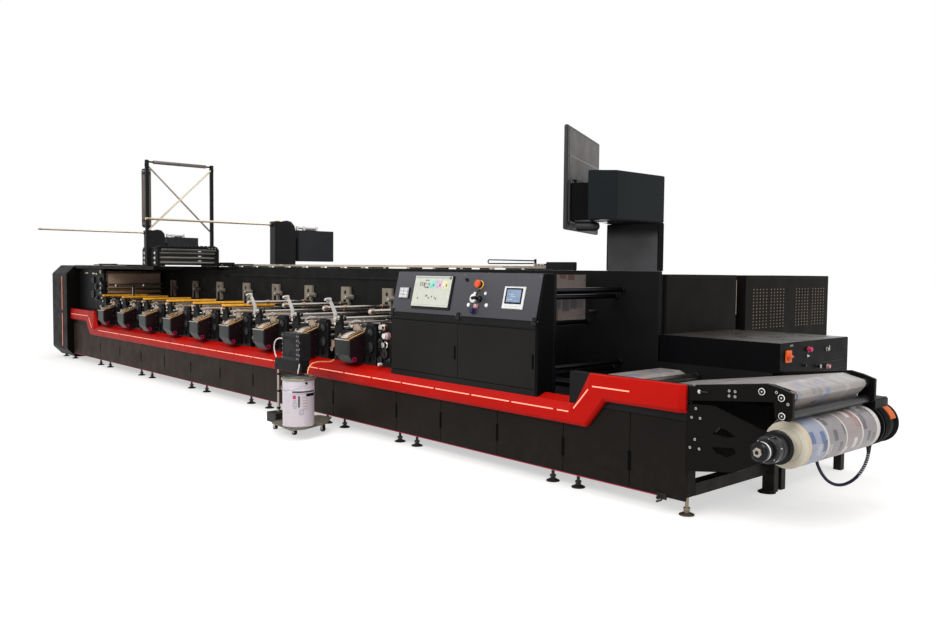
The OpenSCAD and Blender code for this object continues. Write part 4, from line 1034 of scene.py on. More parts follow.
class PRESS_OT_base(bpy.types.Operator):
    """Skirt and rear panels with broken edges, levelling feet and base beams"""
    bl_idname = "press.base"
    bl_label = "Base"

    def execute(self, context):
        p = context.scene.press_base
        # Skirt and rear panels, with a black grip let into the slot at each joint
        joints = [-0.43, -1.01, -1.68, -2.35, -2.95] + [x - 0.252 for x in STATIONS]
        for node, name, y in (("skirt_panels", "skirt", 0), ("rear_panels", "rear_skirt", 1.1)):
            m = Maker()
            m.copy(node, "skirt_brown_black", p.edge)
            for x in joints:
                m.box(x - 0.014, x + 0.014, y - 0.001, y + 0.001, 0.22, 0.35, "slot_black", 0.0004)
            m.piece(name, "skirt_brown_black", node)
        # The feet stand where the frame's own do: a pair by each frame joint, one at each end.
        inset = 0.066
        back = 1.1 - inset
        pairs = [(1.04, 0.12), (2.86, 0.12), (4.0, 0.15), (5.51, 0.205), (7.06, 0.215), (8.72, 0.185),
            (10.33, 0.2)]
        xs = [-a + s * b for a, b in pairs for s in (1, -1)]
        feet = [((x, y, 0), (0, 0, 1), 0.1195) for x in xs for y in (inset, back)]
        feet += [((x, y, 0), (0, 0, 1), 0.0395) for x in (-11.73, -12.19) for y in (inset, back)]
        level_feet().run("level_feet", feet, slot="foot_zinc", Foot="foot_dark", Pad_radius=p.pad_radius)
        end = level_feet().run("end_foot", [((-0.03, inset, 0), (0, 0, 1), 0.1195)], slot="foot_zinc",
            Foot="foot_zinc", Pad_radius=p.pad_radius)
        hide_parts("levelling_feet")
        # Leg at the rewind end, with its splayed pad, and the latch under the skirt's corner
        m = Maker()
        m.copy("rear_beam", "base_black", 0.003)
        m.lathe((0.011, 0.975, 0.0), (0.011, 0.975, 0.03), [(0, 0), (0, 0.062), (0.008, 0.06), (0.024, 0.03),
            (0.03, 0)], "base_black", 24)
        m.piece("rear_beam_and_leg", "base_black", "rear_beam")
        m = Maker()
        black = "base_black"
        m.box(-0.205, -0.13, -0.012, -0.0005, 0.085, 0.125, black, 0.004)
        m.bar_y(-0.185, 0.094, -0.03, -0.006, 0.012, black, 16, 0.002)
        m.tube([(-0.15, -0.006, 0.1), (-0.17, -0.012, 0.078), (-0.2, -0.02, 0.066)], 0.006, black, 10)
        m.copy("front_beam", "skirt_brown_black", 0.003)
        m.piece("front_beam_and_latch", "base_black", "front_beam")
        return {"FINISHED"}


class PressBandProps(bpy.types.PropertyGroup):
    band_out: bpy.props.FloatProperty(name="Band depth",
        description="How far the band stands out from the skirt", default=0.05, unit="LENGTH")
    lower_lip: bpy.props.FloatProperty(name="Lower lip",
        description="Height of the chamfer along the band's lower edge", default=0.024, unit="LENGTH")


class PRESS_OT_band(bpy.types.Operator):
    """Red band with its lower lip, its crease along the light strips and its sloping top"""
    bl_idname = "press.band"
    bl_label = "Red band"

    LEFT = -11.5797
    LOW = [(LEFT, 0.655), (-10.8397, 0.655), (-10.6797, 0.46), (-0.78, 0.46), (-0.62, 0.655), (0, 0.655)]
    TOP = [(LEFT, 0.83), (-10.5197, 0.83), (-10.4397, 0.605), (-0.892, 0.605), (-0.748, 0.83), (0, 0.83)]
    CREASE = [(LEFT, 0.753), (-10.7487, 0.753), (-10.7117, 0.73), (-10.5867, 0.588), (-10.54, 0.556),
        (-0.921, 0.556), (-0.873, 0.588), (-0.748, 0.73), (-0.711, 0.753), (0, 0.753)]
    BACK = [(LEFT, -0.04), (-10.5197, -0.04), (-10.4397, -0.006), (-0.892, -0.006), (-0.748, -0.04),
        (0, -0.04)]

    def execute(self, context):
        p = context.scene.press_band
        red = "band_red"
        m = Maker()
        xs = {self.LEFT, -0.034, -0.01, 0.0}
        for line in (self.LOW, self.TOP, self.CREASE, self.BACK):
            xs.update(x for x, _ in line)
        xs.update(-10.4 + 0.8 * i for i in range(12))
        xs = sorted(xs)
        rings = []
        for x in xs:
            lo, hi, cr, bk = (along(t, x) for t in (self.LOW, self.TOP, self.CREASE, self.BACK))
            front = -p.band_out + max(0.0, min(0.03, x + 0.034))
            back = max(bk, front + 0.006)
            prof = [(-0.0005, lo), (min(front + 0.02, -0.001), lo), (front, lo + p.lower_lip), (front, cr),
                (back, hi - 0.004 if back < -0.03 else hi - 0.001),
                (back + 0.008 if back < -0.03 else -0.004, hi), (-0.0005, hi)]
            rings.append([m.bm.verts.new((x, y, z)) for y, z in prof])
        k = m.index(red)
        n = len(rings[0])
        for a, b in zip(rings, rings[1:]):
            for j in range(n):
                face = m.bm.faces.new((a[j], a[(j + 1) % n], b[(j + 1) % n], b[j]))
                face.material_index = k
        m.bm.faces.new(rings[0][::-1]).material_index = k
        m.bm.faces.new(rings[-1]).material_index = k
        bmesh.ops.recalc_face_normals(m.bm, faces=m.bm.faces)
        for x0, x1 in ((-10.4397, CONSOLE_X0 - 0.0003), (CONSOLE_X1 + 0.0003, -0.96)):
            m.plate_x([(-0.0005, 0.6005), (0.0845, 0.6005), (0.0845, 0.6345), (-0.0005, 0.6045)], x0, x1, red)
        m.piece("band", "band_red", "red_band", smooth=0.25)
        # Joints of the band's lengths
        j = Maker()
        dark = "red_oxide"
        for x in [-0.56, -1.94, -3.42, -4.9, -6.4, -7.9, -9.4]:
            lo, cr = along(self.LOW, x), along(self.CREASE, x)
            j.box(x - 0.0012, x + 0.0012, -0.0503, -0.0495, lo + p.lower_lip, cr, dark)
        j.piece("band_joints", "band_red")
        return {"FINISHED"}


class PressHousingProps(bpy.types.PropertyGroup):
    edge: bpy.props.FloatProperty(name="Housing edge", description="Rounding of the end housing's long edges",
        default=0.012, unit="LENGTH")


class PRESS_OT_housing(bpy.types.Operator):
    """End housing with its trim and a painted reflection along its chamfers, the infeed's plates and hubs,
    and the canopy with a painted highlight along its edge
    """
    bl_idname = "press.housing"
    bl_label = "End housing and infeed"

    def execute(self, context):
        p = context.scene.press_housing
        black = "housing_black"
        m = Maker()
        m.copy("end_housing", black, p.edge, 2)
        # Door seam, plinth line, and tan strips along the chamfers: a painted reflection on the chamfered
        # edges
        x0, x1, y0, y1, c = -12.34, -11.58, -0.1, 1.2, 0.132
        side = [(y0 + c, TOP_Z), (y0, TOP_Z - c), (y0, 0.04 + c), (y0 + c, 0.04)]
        for (ya, za), (yb, zb) in ((side[0], side[1]), (side[2], side[3])):
            d = Vector((0, yb - ya, zb - za)).normalized() * 0.006
            n = Vector((0, -0.0007, 0.0007 if za > 1 else -0.0007))
            q = [Vector((x0 + 0.015, ya, za)) + d, Vector((x0 + 0.015, yb, zb)) - d]
            m.prism([q[0], q[1], q[1] + Vector((0.035, 0, 0)), q[0] + Vector((0.035, 0, 0))], n, "tan_steel")
        seam = "bay_black"
        m.box(-11.7, -11.694, y0 - 0.0006, y0 + 0.001, 0.2, 1.37, seam)
        m.box(x0 + 0.06, -11.7, y0 - 0.0006, y0 + 0.001, 0.19, 0.195, seam)
        # Smooth recess above the left light run
        m.box(x0 + 0.05, x0 + 0.14, y0 - 0.0008, y0 + 0.001, 0.86, 1.36, "console_side")
        # Rear: a service door and its handle
        m.box(x0 + 0.06, x1 - 0.06, y1 - 0.001, y1 + 0.0015, 0.2, 1.35, "cabinet_black", 0.001)
        m.box(x1 - 0.15, x1 - 0.125, y1, y1 + 0.0022, 0.7, 0.86, "gloss_black", 0.001)
        for z in (0.35, 1.2):
            m.cyl((x0 + 0.07, y1 - 0.001, z - 0.04), (x0 + 0.07, y1 - 0.001, z + 0.04), 0.004, black, 10)
        m.piece("unwind_housing", "housing_black", "end_housing")

        m = Maker()
        m.copy("infeed_plates", "base_black", 0.003)
        hub, pin, plate = "chuck_black", "bright_steel", "bright_plate"
        for z, r in ((1.43, 0.04), (1.25, 0.034), (1.18, 0.034), (1.11, 0.034), (0.9, 0.036), (0.76, 0.036)):
            m.lathe_y(-10.52, z, 0.1005, 0.05, [(0, 0), (0, r), (0.012, r), (0.016, r * 0.72),
                (0.034, r * 0.66), (0.036, r * 0.3, pin), (0.044, r * 0.3, pin), (0.045, 0, pin)], hub, 20)
        for x, z, w in ((-11.18, 1.405, 0.13), (-10.86, 1.4, 0.1), (-10.73, 1.395, 0.05)):
            m.box(x - w / 2, x + w / 2, 0.074, 0.0995, z - 0.012, z + 0.014, plate, 0.003)
        for x, z, r in ((-10.9, 1.3, 0.055), (-10.78, 1.2, 0.045), (-10.92, 1.08, 0.06), (-10.74, 1.02, 0.04),
                (-10.6, 1.32, 0.03)):
            m.lathe_y(x, z, 0.0995, 0.06, [(0, 0), (0, r), (0.02, r), (0.024, r * 0.5), (0.032, r * 0.45),
                (0.034, 0)], hub, 20)
        for z0, z1 in ((0.97, 1.0), (1.13, 1.15), (1.27, 1.29)):
            m.box(-10.66, -10.48, 0.06, 0.0995, z0, z1, "base_black", 0.003)
        # Bright reflecting guide plates hanging before the rollers
        m.box(-10.3, -10.26, 0.2, 0.58, 1.205, 1.25, plate, 0.01)
        m.box(-10.3, -10.26, 0.62, 0.78, 1.205, 1.25, plate, 0.01)
        m.box(-10.29, -10.275, 0.46, 0.5, 0.98, 1.205, "bright_steel", 0.004)
        m.piece("infeed", "housing_black", "infeed_plates")

        m = Maker()
        m.copy("canopy", black, 0.006, 2)
        tan = "rail_aluminium"
        # Tan strips along the front edge, a painted highlight along the canopy's edge, and a folded lip over
        # the infeed
        m.box(-11.57, -10.45, 0.021, 0.034, 1.5255, 1.532, tan, 0.002)
        m.box(-10.3, -9.35, 0.021, 0.029, 1.5255, 1.529, tan, 0.001)
        m.box(-11.4, -10.6, 0.26, 0.8, 1.5255, 1.545, black, 0.006)
        m.box(-11.3, -10.72, 0.3, 0.4, 1.545, 1.556, "unit_dark", 0.003)
        m.piece("canopy_cover", "housing_black", "canopy")
        return {"FINISHED"}


class PressStationProps(bpy.types.PropertyGroup):
    pod_width: bpy.props.FloatProperty(name="Pod width", description="Width of an ink pod along the machine",
        default=0.295, unit="LENGTH")
    mark_size: bpy.props.FloatProperty(name="Pod mark",
        description="Side of the red square on each pod's right face", default=0.04, unit="LENGTH")


class PRESS_OT_pods(bpy.types.Operator):
    """Ink pods: faceted covers with a bright lid sheet, a copper gutter, knobs and a red mark"""
    bl_idname = "press.pods"
    bl_label = "Ink pods"

    def pod(self, m, x, w, mark):
        front, side, low = "pod_grey", "pod_side", "pod_low"
        x0, x1, cut = x - w / 2, x + w / 2, 0.072
        yf, yb, z0, zf, zb = -0.09, 0.0847, 0.65, 0.857, 0.92
        # Corners: t top, m middle, b bottom; l left, r right; f front, s side, _b back
        v = {"tl_b": (x0, yb, zb), "tl": (x0, yf + cut, zf + cut * 0.36), "tf": (x0 + cut, yf, zf),
            "tr": (x1 - 0.01, yf, zf), "trs": (x1, yf + 0.01, zf + 0.004), "tr_b": (x1, yb, zb),
            "ml_b": (x0, yb, z0 + 0.075), "ml": (x0, yf + cut, z0 + 0.075),
            "mf": (x0 + cut * 0.9, yf, z0 + 0.078), "mr": (x1 - 0.01, yf, z0 + 0.074),
            "mrs": (x1, yf + 0.01, z0 + 0.074), "mr_b": (x1, yb, z0 + 0.004), "bl_b": (x0 + 0.07, yb, z0),
            "bl": (x0 + 0.074, yf + cut + 0.01, z0), "bf": (x0 + cut + 0.03, yf + 0.05, z0),
            "br": (x1 - 0.012, yf + 0.05, z0), "brs": (x1, yf + 0.058, z0 + 0.004),
            "br_b": (x1 - 0.004, yb, z0)}
        faces = [(("tl_b", "tl", "tf", "tr", "trs", "tr_b"), front), (("tl", "ml", "mf", "tf"), front),
            (("tf", "mf", "mr", "tr"), front), (("tr", "mr", "mrs", "trs"), front),
            (("trs", "mrs", "brs", "mr_b", "tr_b"), side), (("ml", "bl", "bf", "mf"), low),
            (("mf", "bf", "br", "mr"), front), (("mr", "br", "brs", "mrs"), side),
            (("ml_b", "bl_b", "bl", "ml"), low), (("tl_b", "ml_b", "ml", "tl"), front),
            (("bl_b", "br_b", "brs", "br", "bf", "bl"), side), (("mr_b", "brs", "br_b"), side),
            (("tl_b", "tr_b", "mr_b", "br_b", "bl_b", "ml_b"), side)]
        made = {k: m.bm.verts.new(p) for k, p in v.items()}
        new = []
        for keys, mat in faces:
            f = m.bm.faces.new([made[k] for k in keys])
            f.material_index = m.index(mat)
            new.append(f)
        bmesh.ops.recalc_face_normals(m.bm, faces=new)
        break_edges(m.bm, (e for f in new for e in f.edges), 0.004, 2)
        # Red square outline, low on the right face
        red = "lamp_magenta"
        cy, cz, h, t = -0.03, 0.683, mark / 2, 0.007
        for y0, y1, zl, zh in ((cy - h, cy + h, cz - h, cz - h + t), (cy - h, cy + h, cz + h - t, cz + h),
                (cy - h, cy - h + t, cz - h, cz + h), (cy + h - t, cy + h, cz - h, cz + h)):
            m.box(x1 - 0.001, x1 + 0.0012, y0, y1, zl, zh, red)
        # Lid: slope from the front edge up to the station's plate
        s = (zb - zf) / (yb - yf)

        def lid(xa, xb, ya, yc, rise, mat):
            pts = [(ya, zf + (ya - yf) * s - 0.001), (yc, zf + (yc - yf) * s - 0.001),
                (yc, zf + (yc - yf) * s + rise), (ya, zf + (ya - yf) * s + rise)]
            m.plate_x(pts, xa, xb, mat, 0.0015)

        lid(x1 - 0.046, x1 - 0.03, yf + 0.006, yb - 0.004, 0.02, "pod_side")
        lid(x1 - 0.03, x1 - 0.006, yf + 0.004, yb - 0.002, 0.016, "tray_copper")
        lid(x1 - 0.066, x1 - 0.052, yf + 0.012, yb - 0.004, 0.022, "tray_copper")
        lid(x0 + cut * 0.7, x1 - 0.012, yf + 0.002, yf + 0.012, 0.006, "bright_plate")
        # Curved bright sheet in the middle of the lid
        n, xa, xb = 6, x1 - 0.165, x1 - 0.07
        rows = []
        for k in range(n + 1):
            u = k / n
            y = yf + 0.018 + u * (yb - yf - 0.03)
            z = zf + (y - yf) * s + 0.004 + 0.026 * math.sin(math.pi * (0.15 + 0.7 * u))
            rows.append((y, z))
        prof = rows + [(y, z - 0.004) for y, z in reversed(rows)]
        m.plate_x(prof, xa, xb, "bright_plate")
        for xe in (xa - 0.004, xb):
            m.plate_x([(y, z + 0.004) for y, z in rows] + [(y, z - 0.012) for y, z in reversed(rows)], xe,
                xe + 0.004, "roll_tan")
        # Knobs: a tan one at the left front, three rings at the back right
        m.lathe((x0 + 0.06, yf + 0.06, zf + 0.02), (x0 + 0.06, yf + 0.06, zf + 0.06), [(0, 0), (0, 0.016),
            (0.01, 0.018), (0.014, 0.011), (0.03, 0.01), (0.034, 0)], "roll_tan", 16)
        for k in range(3):
            yk = yb - 0.07 + 0.03 * k
            zk = zf + (yk - yf) * s + 0.03
            m.lathe((x1 - 0.05, yk, zk), (x1 - 0.03, yk, zk),
                [(0, 0.006), (0, 0.013), (0.012, 0.014), (0.014, 0.006), (0, 0.006)], "bright_steel", 14)

    def execute(self, context):
        p = context.scene.press_stations
        m = Maker()
        for x in STATIONS:
            self.pod(m, x, p.pod_width, p.mark_size)
        m.piece("pods", "pod_grey", "ink_pods", "pod_trays", smooth=0.5)
        points = []
        for x in STATIONS:
            points += [((x + 0.147, 0.055, z), (1, 0, 0), 0.006) for z in (0.7, 0.78, 0.86)]
        drilled("pod_screws", points)
        return {"FINISHED"}


class PRESS_OT_stations(bpy.types.Operator):
    """Station plates, rolls with printed plate sleeves, gears, inkers' bars, amber covers, arms and rods"""
    bl_idname = "press.stations"
    bl_label = "Print stations"

    def execute(self, context):
        black, hub = "base_black", "chuck_black"
        bright, plate = "bright_steel", "bright_plate"
        m = Maker()
        m.copy("station_plates", black, 0.003)
        for x in STATIONS:
            # Bearing caps on the uprights and an impression cover low between the pods
            m.lathe_y(x + 0.25, 0.93, PLATE_Y, 0.055, [(0, 0), (0, 0.04), (0.014, 0.038), (0.02, 0.026),
                (0.026, 0.012), (0.028, 0)], hub, 20)
            m.lathe_y(x + 0.25, 0.8, PLATE_Y, 0.05, [(0, 0), (0, 0.052), (0.018, 0.05), (0.024, 0.03),
                (0.03, 0.014), (0.032, 0)], hub, 24)
            m.box(x + 0.19, x + 0.31, 0.07, PLATE_Y, 0.985, 1.012, black, 0.004)
            m.box(x + 0.2, x + 0.24, 0.06, PLATE_Y, 0.66, 0.72, black, 0.004)
        # The plate by the web's exit carries three roller ends
        ex = -3.2
        for dx, z, ring, face in ((-0.03, 0.995, "roll_tan", "bright_plate"),
                (0.02, 0.92, "knob_pink", "white_plastic"), (0.01, 0.84, "bright_plate", "bright_steel")):
            m.lathe_y(ex + dx, z, PLATE_Y, 0.02, [(0, 0), (0, 0.032), (0.03, 0.032, ring),
                (0.034, 0.026, ring), (0.06, 0.024, face), (0.064, 0.008, face), (0.0645, 0, face)],
                "roll_steel", 24)
        for dx, z, r in ((-0.08, 0.86, 0.03), (-0.02, 0.76, 0.045), (0.045, 0.7, 0.022), (-0.09, 0.7, 0.03)):
            m.lathe_y(ex + dx, z, PLATE_Y, 0.045, [(0, 0), (0, r), (0.02, r), (0.026, r * 0.6),
                (0.036, r * 0.5), (0.038, 0)], hub, 20)
        m.bar_y(ex - 0.05, 0.662, 0.06, 0.02, 0.014, "white_plastic", 16, 0.003)
        m.piece("station_frames", "base_black", "station_plates")

        m = Maker()
        ends, tan, dark = "roll_steel", "roll_tan", "roll_graphite"
        y0, y1 = 0.1153, WALL_Y
        for x in STATIONS:
            for cx, cz, r, ya, mat in ((x - 0.02, 0.74, 0.13, y0, ends),
                    (x - 0.04, 0.937, 0.065, y0 + 0.06, dark), (x + 0.11, 0.917, 0.06, y0, tan)):
                j = 0.02
                m.lathe_y(cx, cz, ya, y1, [(0, 0), (0, j, ends), (0.03, j, ends), (0.03, r - 0.003),
                    (0.033, r), (0.075, r), (0.076, r - 0.002), (0.081, r - 0.002), (0.082, r),
                    (y1 - ya - 0.078, r), (y1 - ya - 0.077, r - 0.002), (y1 - ya - 0.073, r - 0.002),
                    (y1 - ya - 0.072, r), (y1 - ya - 0.033, r), (y1 - ya - 0.03, r - 0.003),
                    (y1 - ya - 0.03, j), (y1 - ya, j, ends), (y1 - ya, 0, ends)], mat, 32)
            # Sleeve with a printed plate, doctor blade beam and ink chamber
            m.lathe_y(x - 0.04, 0.937, 0.3, 0.86, collar(0.06, 0.0665, 0.56), "bay_print", 32)
            m.box(x + 0.165, x + 0.215, 0.12, 1.02, 0.9, 0.935, plate, 0.006)
            m.box(x + 0.15, x + 0.19, 0.12, 1.02, 0.935, 0.96, "roll_dark", 0.004)
            for y in (0.2, 0.34, 0.62, 0.9):
                m.lathe((x + 0.19, y, 0.96), (x + 0.19, y, 1.0),
                    [(0, 0), (0, 0.012), (0.016, 0.014), (0.03, 0.012), (0.034, 0)], bright, 14)
            m.box(x - 0.15, x - 0.11, 0.12, 1.02, 0.955, 0.985, plate, 0.005)
            m.box(x - 0.26, x - 0.16, 0.14, 1.0, 0.872, 0.884, plate, 0.003)
            m.tube([(x - 0.2, 0.13, 0.94), (x - 0.16, 0.135, 1.0), (x - 0.08, 0.14, 1.03),
                (x + 0.02, 0.14, 1.02)], 0.008, bright, 10)
        m.uv(lambda co: (co.y * 1.4, co.z * 2.0 + co.x))
        m.piece("station_rollers", "roll_steel", "station_rolls")
        gears = []
        for x in STATIONS:
            gears += [((x - 0.04, 0.134, 0.937), (0, 1, 0), 0.062),
                ((x + 0.11, 0.134, 0.917), (0, 1, 0), 0.056), ((x - 0.4, 0.1, 0.785), (0, -1, 0), 0.034),
                ((x - 0.43, 0.1, 0.735), (0, -1, 0), 0.026)]
        gear_teeth().run("station_gears", gears, slot="bright_steel", Gear="roll_tan")

        m = Maker()
        for x in STATIONS[3:]:
            xc = x - 0.29
            # The amber covers glow a little: painted light, as they are no lamps
            am = "amber_clear"
            # Amber cover: a shallow tray with folded sides
            m.plate_y([(xc - 0.035, 1.0615), (xc + 0.035, 1.0615), (xc + 0.035, 1.0855), (xc + 0.028, 1.0855),
                (xc + 0.024, 1.069), (xc - 0.024, 1.069), (xc - 0.028, 1.0855), (xc - 0.035, 1.0855)], 0.06,
                0.725, am, 0.002)
            for y in (0.08, 0.4, 0.7):
                m.box(xc - 0.03, xc + 0.03, y, y + 0.012, 1.069, 1.084, "tray_copper", 0.002)
            m.box(x + 0.02, x + 0.14, 0.16, 0.62, 0.985, 0.99, am, 0.001)
        m.piece("amber_guards", "amber_clear", "amber_covers")

        m = Maker()
        m.copy("idler_arms", bright, 0.004, 2)
        for x in STATIONS[:3]:
            xt = x - 0.29 - 0.118
            m.lathe_y(xt, 1.215, 0.028, -0.004, [(0, 0), (0, 0.01), (0.008, 0.014), (0.018, 0.015),
                (0.027, 0.01), (0.032, 0)], bright, 18)
            m.lathe_y(x - 0.29, 1.035, 0.062, 0.09, collar(0.016, 0.03, 0.024), bright, 20)
        m.piece("bent_arms", "bright_steel", "idler_arms")

        m = Maker()
        for i, x in enumerate(STATIONS):
            for cx, cz, ya in ((x - 0.29, 1.035, 0.036), (x - 0.33, 0.985, 0.065)):
                m.bar_y(cx, cz, ya, WALL_Y, 0.017, bright, 20, 0.002)
                for y in (0.14, 0.97):
                    m.lathe_y(cx, cz, y, y + 0.02, collar(0.017, 0.024, 0.02), "chuck_black", 20)
            if i < 4:
                cx = x + 0.09
                m.bar_y(cx, 1.118, 0.175, 1.0014, 0.02, bright, 24, 0.003)
                for y in (0.19, 0.42, 0.9):
                    m.lathe_y(cx, 1.118, y, y + 0.03, collar(0.02, 0.027, 0.03), "roll_tan", 24)
        m.piece("rods_and_bars", "bright_steel", "idler_rods")
        return {"FINISHED"}


class PRESS_OT_wall(bpy.types.Operator):
    """Back wall with its seams and lights, station brackets, the rail, its tools and sliding units"""
    bl_idname = "press.wall"
    bl_label = "Back wall and rail"

    def execute(self, context):
        wall, dark = "wall_black", "bay_black"
        m = Maker()
        m.copy("back_wall", wall, 0.003)
        for x in [s + 0.4 for s in STATIONS] + [-2.6, -1.9]:
            m.box(x - 0.0015, x + 0.0015, 1.0292, 1.031, 0.62, 1.5, dark)
            m.box(x - 0.0015, x + 0.0015, 1.0695, 1.0706, 0.62, 1.5, dark)
        m.box(-10.4, -3.1, 1.012, 1.03, 1.4, 1.425, "base_black", 0.003)
        m.piece("rear_wall", "wall_black", "back_wall")
        m = Maker()
        m.copy("wall_brackets", "bracket_grey", 0.004)
        for x in STATIONS:
            c = x + 0.05
            m.lathe_y(c + 0.115, 1.195, 0.941, 0.925, [(0, 0), (0, 0.018), (0.01, 0.018), (0.012, 0.01),
                (0.016, 0.009), (0.016, 0)], "bright_steel", 16)
            m.lathe_y(c, 1.248, 1.0296, 0.998, [(0, 0), (0, 0.0215), (0.03, 0.0215), (0.0315, 0.014),
                (0.0315, 0)], "gloss_black", 18)
            m.box(c - 0.036, c + 0.022, 0.998, 1.0296, 1.062, 1.164, "base_black", 0.003)
        m.piece("station_brackets", "bracket_grey", "wall_brackets")
        pts = []
        for x in STATIONS:
            c = x + 0.05
            pts += [((c + dx, 1.0014, z), (0, -1, 0), 0.006) for dx, z in ((-0.07, 1.295), (0.07, 1.295),
                (-0.07, 1.19), (0.055, 1.19), (-0.062, 1.08))]
        drilled("bracket_screws", pts)

        m = Maker()
        tan = "rail_aluminium"
        x0, x1 = -8.25, -2.16
        yc = 1.05
        m.plate_x([(yc - 0.018, 1.539), (yc + 0.018, 1.539), (yc + 0.018, 1.563), (yc + 0.006, 1.563),
            (yc + 0.006, 1.558), (yc - 0.006, 1.558), (yc - 0.006, 1.563), (yc - 0.018, 1.563)], x0, x1, tan,
            0.001)
        m.piece("rail_beam", "rail_aluminium", "overhead_rail")
        m = Maker()
        gaps = [(-4.5, -4.15), (-3.92, -3.68), (-3.5, -3.36), (-3.16, -3.02), (-2.89, -2.67)]
        x = -4.85
        while x > x0 + 0.3:
            gaps.insert(0, (x - 0.17, x))
            x -= 0.42
        edge = x0 + 0.02
        for a, b in gaps + [(x1, x1)]:
            if a - edge > 0.02:
                m.box(edge, a, yc - 0.014, yc + 0.014, 1.5253, 1.5387, "base_black", 0.002)
            edge = b
        for k in range(14):
            xk = -7.9 + 0.42 * k
            m.box(xk - 0.02, xk + 0.02, yc - 0.017, yc + 0.017, 1.5253, 1.5385, "bright_plate", 0.002)
        m.piece("rail_feet", "base_black")

        m = Maker()
        black = "unit_dark"
        m.box(-2.1597, -1.83, 1.032, 1.07, 1.5253, 1.595, black, 0.005, 2)
        m.box(-2.31, -2.159, 1.032, 1.07, 1.5635, 1.58, black, 0.003)
        m.box(-2.155, -1.84, 1.034, 1.068, 1.59, 1.5955, "base_black", 0.002)
        zl, zh, r = 1.582, 1.616, 0.0058
        loop = [(-2.3, 1.05, zl), (-2.6, 1.05, zl - 0.0005), (-2.9, 1.05, zl)]
        loop += [(-2.9 - 0.017 * math.sin(a), 1.05, (zl + zh) / 2 - 0.017 * math.cos(a))
            for a in (math.pi * k / 8 for k in range(1, 8))]
        loop += [(-2.9, 1.05, zh), (-2.6, 1.05, zh - 0.004), (-2.3, 1.05, zh - 0.01)]
        m.tube(loop, r, black, 10)
        m.box(-2.312, -2.292, 1.042, 1.058, 1.5635, 1.622, black, 0.003)
        m.cyl((-2.302, 1.05, 1.6), (-2.302, 1.05, 1.6218), 0.01, "gloss_black", 12, 0.002)
        for x, w in ((-2.29, 0.02), (-2.25, 0.016), (-2.21, 0.02), (-2.18, 0.014)):
            m.lathe_y(x, 1.572, 1.032, 1.018, [(0, 0), (0, w / 2), (0.012, w / 2), (0.014, 0)],
                "bright_plate", 12)
        for z in (1.548, 1.556):
            m.cyl((-2.7, 1.029, z), (-2.165, 1.029, z), 0.0035, "bright_plate", 8)
        m.piece("rail_tool_set", "rewind_black", "rail_tools")

        # Sliding units: a rounded upright box, a rear box and the carriage between
        m = Maker()
        grey, body = "unit_grey", "unit_dark"
        for x, z0 in ((-6.67, 1.5635), (-10.77, 1.5255)):
            xa, xb = x - 0.065, x + 0.065
            ya, yb, zt = 0.862, 1.157, 2.1
            arc = [(yb - 0.11 + 0.11 * math.sin(a), zt - 0.11 + 0.11 * math.cos(a))
                for a in (math.pi / 2 * k / 6 for k in range(7))]
            m.plate_x([(ya, z0), (ya, zt)] + arc + [(yb, z0)], xa, xb, body, 0.004)
            m.box(xa + 0.004, xb - 0.004, ya - 0.0005, ya + 0.004, z0 + 0.01, zt - 0.006, grey, 0.001)
            m.box(xa - 0.0008, xb + 0.0008, ya + 0.02, ya + 0.024, z0 + 0.02, zt - 0.02, "bay_black")
            m.box(xa, xb, 1.2, 1.725, 1.604, 2.0, grey, 0.005, 2)
            m.box(xb - 0.002, xb + 0.0008, 1.215, 1.71, 1.62, 1.985, "unit_grey", 0.0005)
            m.box(x - 0.03, x + 0.03, yb - 0.001, 1.201, 1.624, 1.9, "base_black", 0.003)
            # Small cylinder with end blocks lying on the rear box
            m.bar_y(x, 2.03, 1.21, 1.5, 0.014, "bright_plate", 14, 0.002)
            for y in (1.205, 1.3, 1.49):
                m.box(x - 0.022, x + 0.022, y, y + 0.022, 2.0, 2.056, "white_plastic", 0.004)
            m.box(x - 0.018, x + 0.018, 1.34, 1.47, 2.0, 2.014, "knob_blue", 0.004)
            # Blue hose bend on the upright's rounded shoulder
            m.tube([(x + 0.01, yb - 0.16, zt - 0.004), (x + 0.01, yb - 0.1, zt + 0.008),
                (x + 0.01, yb - 0.04, zt - 0.004), (x + 0.01, yb + 0.004, zt - 0.05),
                (x + 0.01, yb + 0.012, zt - 0.115)], 0.012, "knob_blue", 10)
            m.box(x - 0.03, x + 0.03, ya + 0.05, ya + 0.09, zt, zt + 0.012, "stop_yellow", 0.003)
            # Clamp shoes on the rail
            for y in (0.9, 1.1):
                m.box(x - 0.05, x + 0.05, y - 0.03, y + 0.03, z0 - 0.012 if z0 > 1.55 else z0, z0 + 0.03,
                    "bright_plate", 0.004)
        m.piece("sliding_units", "rewind_black", "rail_units")
        m = Maker()
        for x in (-6.67, -10.77):
            m.lathe_y(x, 2.06, 0.862 - 1.6, 0.8617, [(0, 0), (0, 0.012), (0.004, 0.015),
                (0.05, 0.015, "roll_tan"), (0.052, 0.0138), (1.52, 0.0138), (1.522, 0.015), (1.5997, 0.015),
                (1.5997, 0)], "rail_aluminium", 20)
            m.lathe_y(x, 2.06, 0.83, 0.8617, collar(0.0135, 0.026, 0.0317), "chuck_black", 20)
        m.piece("unit_tubes", "rail_aluminium", "rail_arms")
        return {"FINISHED"}


class PressTowerProps(bpy.types.PropertyGroup):
    flutes: bpy.props.IntProperty(name="Buffer flutes",
        description="Number of flutes round the hanging cylinder", default=18, min=6)


